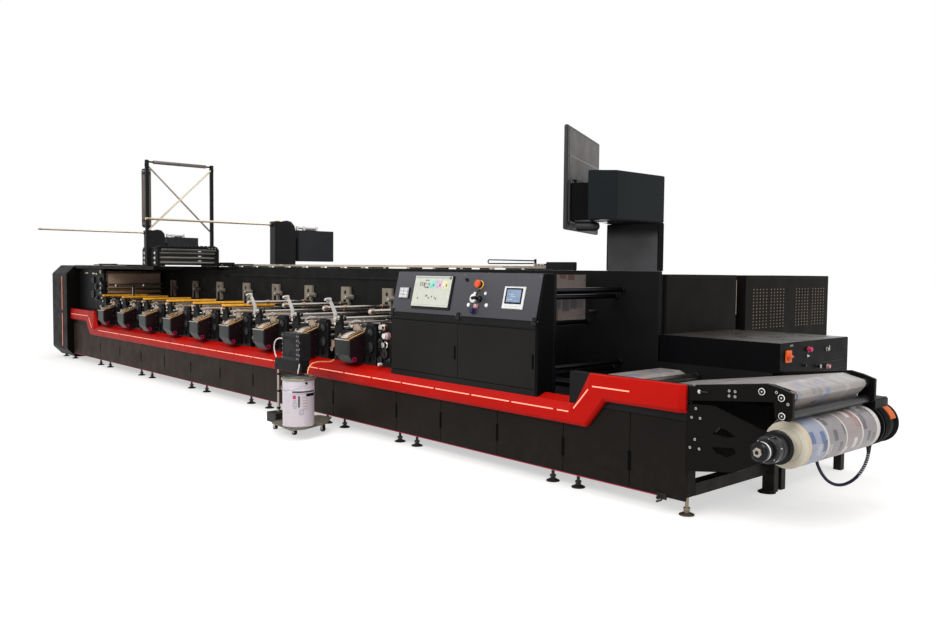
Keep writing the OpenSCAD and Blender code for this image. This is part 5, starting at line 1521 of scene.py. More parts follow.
class PRESS_OT_tower(bpy.types.Operator):
    """Tower with its braces and hanging cylinder, the roller stack beside it and all the web's idlers"""
    bl_idname = "press.tower"
    bl_label = "Tower and idlers"

    def execute(self, context):
        p = context.scene.press_tower
        black, tan = "tower_grey", "tan_steel"
        x, y0, y1, zb, zt = -8.6, 0.0203, 0.99, 1.5253, 2.96
        m = Maker()
        for ya, yb in ((y0, y0 + 0.044), (y1 - 0.044, y1)):
            m.box(x - 0.022, x + 0.022, ya, yb, zb, zt, black, 0.004, 2)
            m.box(x - 0.0225, x + 0.0225, (ya + yb) / 2 - 0.004, (ya + yb) / 2 + 0.004, zb + 0.05, zt - 0.06,
                "base_black")
            m.box(x - 0.05, x + 0.05, ya, yb, zb, zb + 0.012, black, 0.003)
            m.box(x - 0.026, x + 0.026, ya, yb, zt - 0.1, zt - 0.04, "gloss_black", 0.004)
        m.bar_y(x, zt - 0.025, y0 + 0.01, y1 - 0.01, 0.012, "tower_grey", 16, 0.002)
        m.lathe_y(x, zt - 0.025, y0 + 0.11, y1 - 0.11, [(0, 0.012), (0, 0.022), (0.004, 0.024),
            (0.7457, 0.024), (0.7497, 0.022), (0.7497, 0.012)], "cylinder_grey", 24)
        ya, yb = y0 + 0.022, y1 - 0.022
        # The two braces are alike: the one on the +x side gets bright tan steel, a painted highlight; the
        # other plain steel
        for a, b, mat in (((ya, TOP_Z + 0.48), (yb, zt - 0.06), tan),
                ((ya, zt - 0.06), (yb, TOP_Z + 0.48), "roll_steel")):
            xd = x + (0.011 if mat == tan else -0.011)
            m.cyl((xd, *a), (xd, *b), 0.012, mat, 16, 0.002)
            for q in (a, b):
                m.cyl((x - 0.024, *q), (x + 0.024, *q), 0.014, black, 16, 0.003)
        m.cyl((x + 0.016, (ya + yb) / 2, 2.4525), (x - 0.016, (ya + yb) / 2, 2.4525), 0.014, black, 16, 0.003)
        m.piece("tower", "tower_grey", "tower_frame")

        # Hanging cylinder: fluted tube between a ringed cap and a tapered foot
        cx, cy, z0, z1, r = x - 0.022 - 0.062 - 0.04, y0 + 0.062, 2.05, 2.85, 0.062
        m = Maker()
        n = p.flutes * 4
        pts = []
        for k in range(n):
            a, q = 2 * math.pi * k / n, r - (0.0035 if k % 4 in (1, 2) else 0)
            pts.append((cx + q * math.cos(a), cy + q * math.sin(a), z0 + 0.03))
        m.prism(pts, (0, 0, z1 - z0 - 0.06), "cylinder_grey")
        m.lathe((cx, cy, z1 - 0.032), (cx, cy, z1), [(0, 0), (0, r, "bright_plate"),
            (0.006, r, "bright_plate"), (0.008, r - 0.004), (0.022, r - 0.004), (0.032, r - 0.018),
            (0.032, 0)], "gloss_black", 32)
        m.lathe((cx, cy, z0 + 0.032), (cx, cy, z0), [(0, 0), (0, r), (0.01, r), (0.032, r - 0.02),
            (0.032, 0)], "gloss_black", 32)
        for z in (z0 + 0.08, z1 - 0.08):
            m.box(cx, x - 0.0223, y0 + 0.01, y0 + 0.04, z, z + 0.03, "base_black", 0.003)
            m.lathe((cx, cy, z), (cx, cy, z + 0.03), collar(r - 0.002, r, 0.03), "gloss_black", 32)
        m.cyl((cx, cy, z1 - 0.002), (cx + 0.07, cy - 0.02, z1 + 0.02), 0.006, "bright_plate", 10)
        m.piece("hanging_cylinder", "cylinder_grey", "buffer_cylinder")

        # Stack plates with hubs, ties and the rail assembly on top
        m = Maker()
        m.copy("stack_plates", "base_black", 0.003)
        sx0 = x - 0.022 - 0.22
        sx1 = sx0 + 0.52
        hub = "chuck_black"
        for z in (1.57, 1.635, 1.7):
            for xx in (sx1 - 0.06, sx0 + 0.1):
                m.lathe_y(xx, z, 0.0646, 0.04, [(0, 0), (0, 0.024), (0.012, 0.022),
                    (0.016, 0.012, "bright_steel"), (0.024, 0.01, "bright_steel"),
                    (0.0245, 0, "bright_steel")], hub, 18)
        m.box(sx0 + 0.02, sx1 - 0.02, 0.066, 0.945, 1.7613, 1.782, "base_black", 0.004)
        m.box(sx1 - 0.1, sx1 - 0.02, 0.1, 0.93, 1.782, 1.8, "unit_dark", 0.004)
        m.box(sx1 - 0.008, sx1, 0.12, 0.9, 1.735, 1.76, "roll_graphite", 0.003)
        for k in range(9):
            yk = 0.4 + 0.06 * k
            m.box(sx1 - 0.085, sx1 - 0.03, yk, yk + 0.028, 1.8, 1.812, "base_black", 0.003)
        for k in range(4):
            yk = 0.8 + 0.045 * k
            m.box(sx1 - 0.04, sx1 - 0.018, yk, yk + 0.016, 1.77, 1.784, "bright_plate", 0.003)
        m.box(sx1 + 0.02, sx1 + 0.4, 0.93, 0.985, 1.53, 1.585, "base_black", 0.006)
        m.box(sx1 + 0.4, sx1 + 0.95, 0.94, 0.98, 1.548, 1.566, "unit_dark", 0.004)
        m.box(sx1 + 0.1, sx1 + 0.16, 0.91, 0.93, 1.54, 1.556, "bright_plate", 0.003)
        m.piece("stack", "base_black", "stack_plates")

        # Idlers: each with journals, end rings and its own finish
        m = Maker()

        def idler(cx, cz, ya, yb, d, mat):
            rim, r, j, n = "chuck_black", d / 2, 0.012, yb - ya
            m.lathe_y(cx, cz, ya, yb, [(0, 0), (0, j, "bright_steel"), (0.012, j, "bright_steel"),
                (0.012, r - 0.002, rim), (0.016, r, rim), (0.024, r, rim), (0.026, r - 0.0015),
                (n - 0.026, r - 0.0015), (n - 0.024, r, rim), (n - 0.016, r, rim),
                (n - 0.012, r - 0.002, rim), (n - 0.012, j, "bright_steel"), (n, j, "bright_steel"),
                (n, 0, "bright_steel")], mat, 24)

        for z, mat in ((1.43, "roll_tan"), (1.25, "roll_steel"), (1.18, "roll_steel"), (1.11, "roll_tan"),
                (0.9, "roll_tan"), (0.76, "roll_steel")):
            idler(-10.52, z, 0.1303, WALL_Y, 0.06, mat)
        for z in (1.57, 1.635, 1.7):
            idler(sx1 - 0.06, z, 0.0949, 0.9154, 0.06, "roll_graphite")
        for xx, z in ((-1.305, 1.375), (-1.375, 1.322), (-1.315, 0.795), (-1.385, 0.74)):
            idler(xx, z, 0.1953, WALL_Y, 0.042, "roll_dark")
        for z in (1.35, 1.1):
            idler(-1.6587, z, 0.1953, WALL_Y, 0.042, "roll_dark")
        for xx, z, mat in ((-3.23, 0.995, "roll_tan"), (-3.18, 0.92, "roll_steel"),
                (-3.19, 0.84, "roll_steel")):
            idler(xx, z, 0.1153, WALL_Y, 0.06, mat)
        for xx in (0.745, 0.6):
            idler(-xx, 0.745, 0.0603, WALL_Y, 0.06, "roll_graphite")
        # The unwind's web, wound over the infeed's idlers as a dull brown sheet
        m.box(-10.556, -10.553, 0.16, 0.98, 0.8, 1.4, "unwind_web")
        m.box(-10.4892, -10.4875, 0.17, 0.985, 1.02, 1.405, "unwind_web")
        # Slim tan rods before the web, for the bright lines across the infeed: painted highlights
        for z, r in ((1.235, 0.014), (1.165, 0.018), (1.095, 0.012)):
            m.bar_y(-10.466, z, 0.15, WALL_Y, r, "roll_tan", 16, 0.002)
        m.piece("idlers", "roll_steel", "idler_rollers")
        return {"FINISHED"}


class PressConsoleProps(bpy.types.PropertyGroup):
    screen_width: bpy.props.FloatProperty(name="Main screen width",
        description="Width of the main touch screen", default=0.495, unit="LENGTH")
    screen_height: bpy.props.FloatProperty(name="Main screen height",
        description="Height of the main touch screen up the panel", default=0.285, unit="LENGTH")


class PRESS_OT_console(bpy.types.Operator):
    """Console: body, lighter desk panel, touch screens, keypad, stop button, joystick, lamps and latches"""
    bl_idname = "press.console"
    bl_label = "Console"

    FOOT_Z, RUN, RISE = 1.15, 0.082, 0.35
    LEAN = math.atan2(RUN, RISE)

    def on(self, m, x0, x1, s0, s1, h0, h1, mat, bevel=0.0, seg=1):
        """A box on the sloped panel: s runs up the panel, h out of it."""
        turn = Matrix.Translation((0, 0, self.FOOT_Z)) @ Matrix.Rotation(-self.LEAN, 4, "X")
        m.box(x0, x1, -h1, -h0, s0, s1, mat, bevel, seg, turn=turn)

    def at(self, x, z, h=0.0):
        """A point h out of the panel, over the height z."""
        c, s = math.cos(self.LEAN), math.sin(self.LEAN)
        up = (z - self.FOOT_Z) / c
        return Vector((x, up * s - h * c, self.FOOT_Z + up * c + h * s))

    def execute(self, context):
        p = context.scene.press_console
        x0, x1 = CONSOLE_X0, CONSOLE_X1
        grey, desk, black = "console_grey", "desk_grey", "gloss_black"
        up = self.RISE / math.cos(self.LEAN)
        m = Maker()
        m.copy("console_body", grey, 0.0025)
        self.on(m, x0 + 0.004, x1 - 0.03, 0.004, up - 0.002, -0.002, 0.0012, desk, 0.0008)
        # Dark end face with its folded edge, seams over and under the doors
        m.plate_x([(0.004, 0.604), (0.163, 0.604), (0.163, 1.496), (0.084, 1.496), (0.004, 1.151)],
            x1 - 0.001, x1 + 0.0008, "console_side")
        m.plate_x([(-0.0006, 0.612), (0.012, 0.612), (0.012, 1.148), (0.092, 1.494), (0.079, 1.494),
            (-0.0006, 1.15)], x1 - 0.028, x1 + 0.0004, "console_side")
        m.box(x0 + 0.002, x1 - 0.029, -0.0006, 0.002, 1.1, 1.1035, "bay_black")
        m.box(x0 + 0.002, x1 - 0.029, -0.0008, 0.004, 1.1445, 1.149, "bay_black")
        m.box(x0 + 0.003, x1 - 0.003, -0.004, 0.02, 0.601, 0.6065, grey, 0.001)
        m.box(x0 + 0.02, x1 - 0.02, 0.1645, 0.1662, 0.7, 1.44, "cabinet_black", 0.0005)
        # Latches at the desk's edge
        for x in (x0 + 0.02, -2.14, x1 - 0.035):
            self.on(m, x - 0.02, x + 0.02, 0.004, 0.03, 0.001, 0.012, black, 0.003)
            m.box(x - 0.014, x + 0.014, -0.012, 0.0, 1.118, 1.146, black, 0.003)
            m.cyl((x - 0.022, -0.006, 1.132), (x + 0.022, -0.006, 1.132), 0.006, "chuck_black", 10)
            for sx in (-0.03, 0.03):
                m.bar_y(x + sx, 1.152, -0.004, 0.004, 0.004, "roll_graphite", 10)
        m.piece("console_cabinet", "console_grey", "console_body")

        # Screens: bezel, glass and a plain generic layout of tiles
        m = Maker()
        a = x0 + 0.275
        b = a + p.screen_width
        s0, s1 = 0.04, 0.04 + p.screen_height
        self.on(m, a, b, s0, s1, 0.0003, 0.01, black, 0.003, 2)
        self.on(m, a - 0.006, b - 0.024, s0 + 0.022, s1 - 0.003, 0.0098, 0.0112, "screen_cream", 0.0005)
        gx, gs = a - 0.006, s0 + 0.022
        gw, gh = b - 0.024 - gx, s1 - 0.003 - gs

        def tile(u0, u1, v0, v1, mat):
            self.on(m, gx + u0 * gw, gx + u1 * gw, gs + v0 * gh, gs + v1 * gh, 0.0111, 0.0116, mat)

        tile(0.02, 0.98, 0.93, 0.965, "keypad_grey")
        tile(0.93, 0.98, 0.9, 0.985, "ui_dark")
        for k in range(3):
            tile(0.15 + 0.05 * k, 0.185 + 0.05 * k, 0.66, 0.8, "ui_grey")
        for u, v in ((0.3, 0.84), (0.355, 0.84)):
            tile(u, u + 0.045, v, v + 0.03, "ui_dark")
        for u, v, w, h in ((0.27, 0.62, 0.02, 0.15), (0.31, 0.6, 0.035, 0.05), (0.31, 0.7, 0.015, 0.08),
                (0.36, 0.6, 0.04, 0.05), (0.37, 0.7, 0.012, 0.07), (0.4, 0.68, 0.02, 0.1)):
            tile(u, u + w, v, v + h, "ui_dark")
        for u, mat in ((0.425, "ui_cyan"), (0.6, "ui_pink"), (0.77, "ui_yellow")):
            tile(u, u + 0.155, 0.6, 0.85, mat)
            tile(u + 0.09, u + 0.12, 0.66, 0.74, "ui_dark")
            tile(u + 0.03, u + 0.05, 0.62, 0.67, "ui_grey")
        for u in (0.13, 0.145, 0.36, 0.385, 0.44, 0.52, 0.6, 0.64):
            v = 0.28 + 0.05 * math.sin(u * 37)
            tile(u, u + 0.022, v, v + 0.055, "ui_grey" if int(u * 100) % 2 else "ui_dark")
        tile(0.05, 0.95, 0.05, 0.058, "keypad_grey")
        # Second screen: white frame, black bezel, blue display
        a, b, s0, s1 = x0 + 1.365, x0 + 1.59, 0.082, 0.257
        self.on(m, a, b, s0, s1, 0.0003, 0.008, "white_plastic", 0.004, 2)
        self.on(m, a + 0.022, b - 0.024, s0 + 0.038, s1 - 0.014, 0.0079, 0.0088, black, 0.0005)
        self.on(m, a + 0.038, b - 0.04, s0 + 0.052, s1 - 0.026, 0.0087, 0.0093, "screen_blue")
        self.on(m, a + 0.03, b - 0.03, s0 + 0.02, s0 + 0.022, 0.0079, 0.0084, "keypad_grey")
        for u, v in ((0.05, 0.07), (0.085, 0.095), (0.06, 0.11)):
            self.on(m, a + u, a + u + 0.05, s0 + v, s0 + v + 0.004, 0.0092, 0.0096, "screen_cream")
        m.piece("touch_screens", "screen_glass", "screens")

        # Keypad plate with six keys
        m = Maker()
        ks = (1.268 - self.FOOT_Z) / math.cos(self.LEAN)
        self.on(m, -2.95, -2.812, ks, ks + 0.098, 0.001, 0.01, black, 0.002)
        self.on(m, -2.953, -2.828, ks + 0.004, ks + 0.096, 0.0098, 0.012, "keypad_grey", 0.001)
        for i in range(2):
            for j in range(3):
                xa = -2.944 + 0.056 * i
                sa = ks + 0.01 + 0.028 * j
                self.on(m, xa, xa + 0.044, sa, sa + 0.02, 0.0118, 0.015, "white_plastic", 0.002)
                self.on(m, xa + 0.018, xa + 0.026, sa + 0.008, sa + 0.012, 0.0149, 0.0153, "ui_dark")
        # Joystick in a white round base, blue selector with its pink cap
        n = self.at(0, 1.3, 1.0) - self.at(0, 1.3)

        def turned(x, z, prof, mat):
            q = self.at(x, z)
            m.lathe(q, q + n, prof, mat)

        turned(-1.995, 1.296, [(0, 0), (0, 0.036), (0.014, 0.036), (0.018, 0.03), (0.018, 0.015),
            (0.019, 0.012, "gloss_black"), (0.03, 0.008, "gloss_black"), (0.03, 0, "gloss_black")],
            "white_plastic")
        turned(-1.925, 1.292, [(0, 0), (0, 0.026), (0.02, 0.024), (0.026, 0.012), (0.05, 0.01), (0.06, 0.016),
            (0.07, 0.01), (0.072, 0)], black)
        m.tube([self.at(-1.925, 1.292, 0.045), self.at(-1.922, 1.32, 0.05), self.at(-1.928, 1.345, 0.03),
            self.at(-1.935, 1.36, 0.008)], 0.005, black, 8)
        turned(-1.949, 1.236, [(0, 0), (0, 0.018), (0.02, 0.017), (0.024, 0.012), (0.026, 0)], "knob_pink")
        turned(-1.966, 1.196, [(0, 0), (0, 0.026), (0.008, 0.026), (0.012, 0.022), (0.04, 0.02), (0.043, 0)],
            "knob_blue")
        turned(-2.108, 1.44, [(0, 0), (0, 0.016), (0.006, 0.016), (0.01, 0.01), (0.024, 0.009), (0.025, 0)],
            black)
        # Stop button on its yellow ring
        turned(-1.944, 1.404, [(0, 0), (0, 0.034), (0.006, 0.034), (0.008, 0.03)], "stop_yellow")
        turned(-1.955, 1.407, [(0.006, 0), (0.006, 0.016), (0.02, 0.016), (0.022, 0.03), (0.032, 0.031),
            (0.04, 0.024), (0.043, 0)], "stop_red")
        m.piece("console_controls", "pump_black")
        lamps = [(self.at(x, z), n, r) for x, z, r in ((-2.04, 1.244, 0.017), (-1.835, 1.248, 0.017),
            (-1.99, 1.335, 0.014), (-1.87, 1.338, 0.014))]
        studs().run("console_lamps", lamps, slot="screen_glass", Collar="bright_steel", Button="lens_white",
            Button_radius=0.78)
        drilled("console_screws", [(self.at(x, z), n, 0.005) for x, z in ((x0 + 0.02, 1.478), (-2.148, 1.478),
            (x1 - 0.05, 1.478), (x0 + 0.02, 1.19))])

        # Doors, each on its own body
        for name, side in (("console_door_left", "door_left"), ("console_door_right", "door_right")):
            d = Maker()
            lo, hi = (Vector(corner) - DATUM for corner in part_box(name))
            d.copy(name, grey, 0.002)
            gx = hi.x - 0.03 if side == "door_left" else x1 - 0.05
            d.box(gx - 0.011, gx + 0.011, -0.001, 0.0065, 0.8, 0.91, "slot_black", 0.0004)
            for z in (0.7, 1.04):
                d.box(lo.x + 0.1, lo.x + 0.16, 0.0178, 0.02, z, z + 0.03, "bright_plate", 0.0005)
            d.piece(side + "_leaf", "console_grey", name, body=side)
        return {"FINISHED"}


class PressColumnProps(bpy.types.PropertyGroup):
    monitor_thick: bpy.props.FloatProperty(name="Monitor thickness",
        description="Thickness of the monitor's panel", default=0.034, unit="LENGTH")


class PRESS_OT_column(bpy.types.Operator):
    """Inspection bay, camera column with its hood, and the slanted monitor"""
    bl_idname = "press.column"
    bl_label = "Bay, column and monitor"

    def execute(self, context):
        p = context.scene.press_column
        black, hood = "bay_black", "hood_grey"
        m = Maker()
        m.copy("bay_plates", black, 0.003)
        for z in (0.98, 1.05):
            m.box(-1.66, -0.975, 1.066, 1.0705, z, z + 0.012, "unit_dark", 0.003)
        m.lathe_y(-1.589, 1.192, 1.0706, 0.94, [(0, 0), (0, 0.012), (0.11, 0.012), (0.116, 0.008),
            (0.118, 0)], "roll_graphite", 20)
        for z in (0.887, 0.921, 0.955, 0.989, 1.023, 1.055):
            m.bar_y(-1.315, z, 1.0706, 1.066, 0.004, "bright_plate", 10)
        for x, z, w, h in ((-1.12, 0.98, 0.016, 0.04), (-1.23, 1.16, 0.03, 0.012), (-1.05, 1.4, 0.05, 0.02),
                (-1.18, 1.42, 0.02, 0.012), (-1.02, 0.8, 0.012, 0.012)):
            m.box(x - w / 2, x + w / 2, 1.064, 1.0705, z, z + h, "unit_grey", 0.003)
        m.box(-1.676, -0.99, 0.6, 1.07, 0.6005, 0.64, "base_black", 0.004)
        m.piece("bay", "wall_black", "bay_plates")

        m = Maker()
        # The column's finish carries a painted shadow of the hood along its top
        m.copy("column", "column_satin", 0.004, 2)
        m.box(-1.48, -1.47, 1.0288, 1.031, 1.54, 1.895, black)
        m.box(-0.985, -0.9745, 1.029, 1.101, 1.527, 1.898, "console_side", 0.003)
        m.piece("camera_column", "hood_grey", "column")
        m = Maker()
        m.copy("column_hood", hood, 0.006, 2)
        m.box(-0.9752, -0.9742, 0.53, 1.09, 1.906, 1.909, black)
        for y in (0.6, 1.02):
            for z in (1.95, 2.21):
                m.cyl((-0.976, y, z), (-0.9738, y, z), 0.006, "gloss_black", 10)
        # Lens windows and vents under the hood
        m.box(-1.3, -1.1, 0.62, 0.84, 1.896, 1.9005, "gloss_black", 0.001)
        for k in range(8):
            m.box(-1.36, -1.08, 0.905 + 0.014 * k, 0.911 + 0.014 * k, 1.8975, 1.9005, black)
        m.piece("hood", "hood_grey", "column_hood")
        drilled("column_screws", [((x, 1.0293, z), (0, -1, 0), 0.004) for x in (-1.455, -1.005)
            for z in (1.56, 1.84)], metal="chuck_black")

        # Monitor, laid out in its own slanted axes: x towards the hood, y across, z up
        turn = (Matrix.Translation((-1.125, 0.36, 0)) @ Matrix.Rotation(math.radians(27), 4,
            "Z") @ Matrix.Translation((-0.185, 0, 0)))
        t = p.monitor_thick
        body, shell, glass = "black_plastic", "monitor_back", "gloss_black"
        m = Maker()
        y0, y1, z0, z1 = 0.125, 1.21, 1.835, 2.623
        m.box(-t, -0.002, y0, y1, z0, z1, body, 0.006, 2, turn=turn)
        m.box(-0.004, 0.0, y0 + 0.045, y1 - 0.02, z0 + 0.02, z1 - 0.02, shell, 0.002, turn=turn)
        m.box(-0.002, 0.0012, y0 + 0.045, y1 - 0.02, 2.392, 2.404, glass, turn=turn)
        m.box(-t, -t + 0.0012, y0 + 0.014, y1 - 0.014, z0 + 0.022, z1 - 0.014, glass, 0.001, turn=turn)
        # Raised electronics box with slots, its darker lower half
        v = [(0.23, 1.895), (1.105, 1.895), (1.105, 2.175), (1.045, 2.225), (0.29, 2.225), (0.23, 2.175)]
        m.prism([turn @ Vector((-0.001, y, z)) for y, z in v], turn.to_3x3() @ Vector((0.031, 0, 0)),
            "console_side", 0.006, 2)
        for k in range(16):
            y = 0.34 + 0.045 * k
            m.box(0.0302, 0.0309, y, y + 0.012, 2.02, 2.14, glass, turn=turn)
        m.box(-0.001, 0.184, 0.15, 0.27, 1.905, 2.185, "console_side", 0.006, 2, turn=turn)
        m.box(0.0, 0.02, 0.13, 0.29, 1.885, 2.205, body, 0.005, turn=turn)
        m.box(0.166, 0.1845, 0.14, 0.28, 1.895, 2.195, body, 0.004, turn=turn)
        # Round spindle under the mount, with a domed end
        q = turn @ Vector((0.06, 0.2, 1.861))
        e = turn @ Vector((0.25, 0.2, 1.858))
        m.lathe(q, e, [(0, 0), (0, 0.036), (0.12, 0.036), (0.15, 0.032), (0.168, 0.02), (0.174, 0)], body, 24)
        m.piece("monitor_unit", "monitor_plastic", "monitor")
        return {"FINISHED"}


class PressCabinetProps(bpy.types.PropertyGroup):
    hole_rows: bpy.props.IntProperty(name="Vent hole rows", description="Rows of holes in each vent field",
        default=13, min=2)
    hole_radius: bpy.props.FloatProperty(name="Vent hole radius", description="Radius of each vent hole",
        default=0.006, unit="LENGTH")


class PRESS_OT_cabinets(bpy.types.Operator):
    """Tall cabinet, vent cabinet with its perforated fields, and the low cabinet with its switches"""
    bl_idname = "press.cabinets"
    bl_label = "Cabinets"

    def execute(self, context):
        p = context.scene.press_cabinets
        black, dark, low = "cabinet_black", "bay_black", "low_cabinet_black"
        for name, node, y0, y1, top in (("tall_cabinet_body", "tall_cabinet", 1.1003, 2.1203, 1.498),
                ("vent_cabinet_body", "vent_cabinet", 2.2703, 3.8203, 1.493)):
            m = Maker()
            m.copy(node, black, 0.004, 2)
            x = -0.94
            mid = (y0 + y1) / 2
            m.box(x - 0.003, x + 0.0006, y0 + 0.012, y0 + 0.016, 0.05, top - 0.02, dark)
            m.box(x - 0.003, x + 0.0006, y1 - 0.016, y1 - 0.012, 0.05, top - 0.02, dark)
            m.box(x - 0.003, x + 0.0006, y0 + 0.012, y1 - 0.012, 0.046, 0.05, dark)
            m.box(x - 0.003, x + 0.0006, y0 + 0.012, y1 - 0.012, top - 0.024, top - 0.02, dark)
            # Back: a pair of doors with their seam, hinges and handles, and a louvred field
            back = -1.5
            m.box(back - 0.0006, back + 0.003, mid - 0.002, mid + 0.002, 0.06, top - 0.03, dark)
            for s in (-1, 1):
                m.box(back - 0.0006, back + 0.002, mid + s * 0.045 - 0.014, mid + s * 0.045 + 0.014, 0.82,
                    0.98, "gloss_black", 0.0004)
                for z in (0.25, top - 0.25):
                    ye = y0 + 0.01 if s < 0 else y1 - 0.01
                    m.box(back - 0.0006, back + 0.002, ye - 0.005, ye + 0.005, z, z + 0.09, "bright_plate",
                        0.0004)
                for k in range(9):
                    yc = mid + s * (y1 - y0) / 4
                    m.box(back - 0.0006, back + 0.002, yc - 0.1, yc + 0.1, 0.3 + 0.024 * k, 0.31 + 0.024 * k,
                        dark)
            m.box(x - 0.003, x + 0.0006, mid - 0.05, mid + 0.05, 0.004, 0.03, dark)
            m.piece(name, "cabinet_black", node)
        # Bright edge of the seal seen in the gap between the two cabinets
        m = Maker()
        m.box(-0.958, -0.944, 2.1203, 2.131, 1.16, 1.455, "seal_cream", 0.002)
        m.box(-1.46, -0.98, 2.1203, 2.124, 0.2, 1.42, "base_black", 0.001)
        m.piece("cabinet_seal", "cabinet_black")
        perforation().run("vent_holes", [((-0.9399, (a + b) / 2, 1.2), (1, 0, 0), 1.0)
            for a, b in ((2.387, 2.651), (2.685, 2.964), (3.155, 3.423), (3.47, 3.752))],
            slot="cabinet_black", Rows=p.hole_rows, Columns=5, Height=0.34, Width=0.225,
            Hole_radius=p.hole_radius, Depth=0.0008, Hole="vent_tan")

        m = Maker()
        m.copy("low_cabinet", low, 0.004, 2)
        xe = 0.0503
        m.box(-0.936, xe - 0.003, 1.034, 2.076, 1.0335, 1.0353, "cabinet_top", 0.0006)
        m.box(-0.932, xe - 0.008, 1.0296, 1.0312, 0.832, 1.03, "console_side", 0.0004)
        for y in (1.105, 2.07):
            m.box(xe - 0.002, xe + 0.0006, y, y + 0.003, 0.31, 1.025, dark)
        for y in (1.3105, 1.74):
            m.box(xe - 0.002, xe + 0.0006, y, y + 0.002, 0.31, 0.8, dark)
        m.box(xe - 0.002, xe + 0.0006, 1.105, 2.073, 0.8, 0.803, dark)
        m.box(-0.9402, -0.938, 1.15, 2.03, 0.34, 0.78, dark, 0.0004)
        m.piece("low_cabinet_body", "cabinet_black", "low_cabinet")

        # Switches on the end face
        m = Maker()
        red, zinc = "switch_red", "bright_plate"
        m.box(xe, xe + 0.01, 1.1, 1.187, 0.893, 0.983, "switch_orange", 0.006, 2)
        m.lathe((xe + 0.008, 1.142, 0.938), (xe + 0.034, 1.142, 0.938),
            [(0, 0), (0, 0.03), (0.012, 0.028), (0.014, 0)], "stop_red", 24)
        m.box(xe + 0.02, xe + 0.034, 1.115, 1.169, 0.931, 0.945, "stop_red", 0.004)
        m.box(xe, xe + 0.002, 1.172, 1.212, 1.006, 1.018, "keypad_grey", 0.001)
        m.box(xe, xe + 0.003, 1.178, 1.206, 1.01, 1.014, dark)
        m.box(xe, xe + 0.004, 1.6, 1.98, 0.865, 0.87, dark)

        def knob(y, z, r, h, mat):
            m.lathe((xe, y, z), (xe + h, y, z), [(0, 0), (0, r * 1.25, zinc), (0.004, r * 1.25, zinc),
                (0.005, r), (h - 0.003, r), (h, r * 0.8), (h, 0)], mat, 20)

        knob(1.441, 0.973, 0.017, 0.03, red)
        knob(1.723, 0.96, 0.012, 0.022, zinc)
        knob(1.425, 0.926, 0.008, 0.014, "white_plastic")
        knob(1.457, 0.926, 0.008, 0.014, "gloss_black")
        knob(1.383, 0.861, 0.012, 0.018, "gloss_black")
        knob(1.588, 0.841, 0.013, 0.022, "gloss_black")
        m.box(xe + 0.018, xe + 0.03, 1.584, 1.592, 0.828, 0.854, "white_plastic", 0.002)
        knob(1.739, 0.83, 0.015, 0.026, "knob_pink")
        m.box(xe + 0.02, xe + 0.024, 1.719, 1.727, 0.955, 0.99, zinc, 0.001)
        m.piece("cabinet_switches", "cabinet_black")
        m = Maker()
        m.copy("cabinet_base", "base_black", 0.003)
        m.piece("cabinet_legs", "base_black", "cabinet_base")
        return {"FINISHED"}


class PressWebProps(bpy.types.PropertyGroup):
    roll_radius: bpy.props.FloatProperty(name="Roll radius",
        description="Radius of the printed roll on the rewinder", default=0.136, unit="LENGTH")


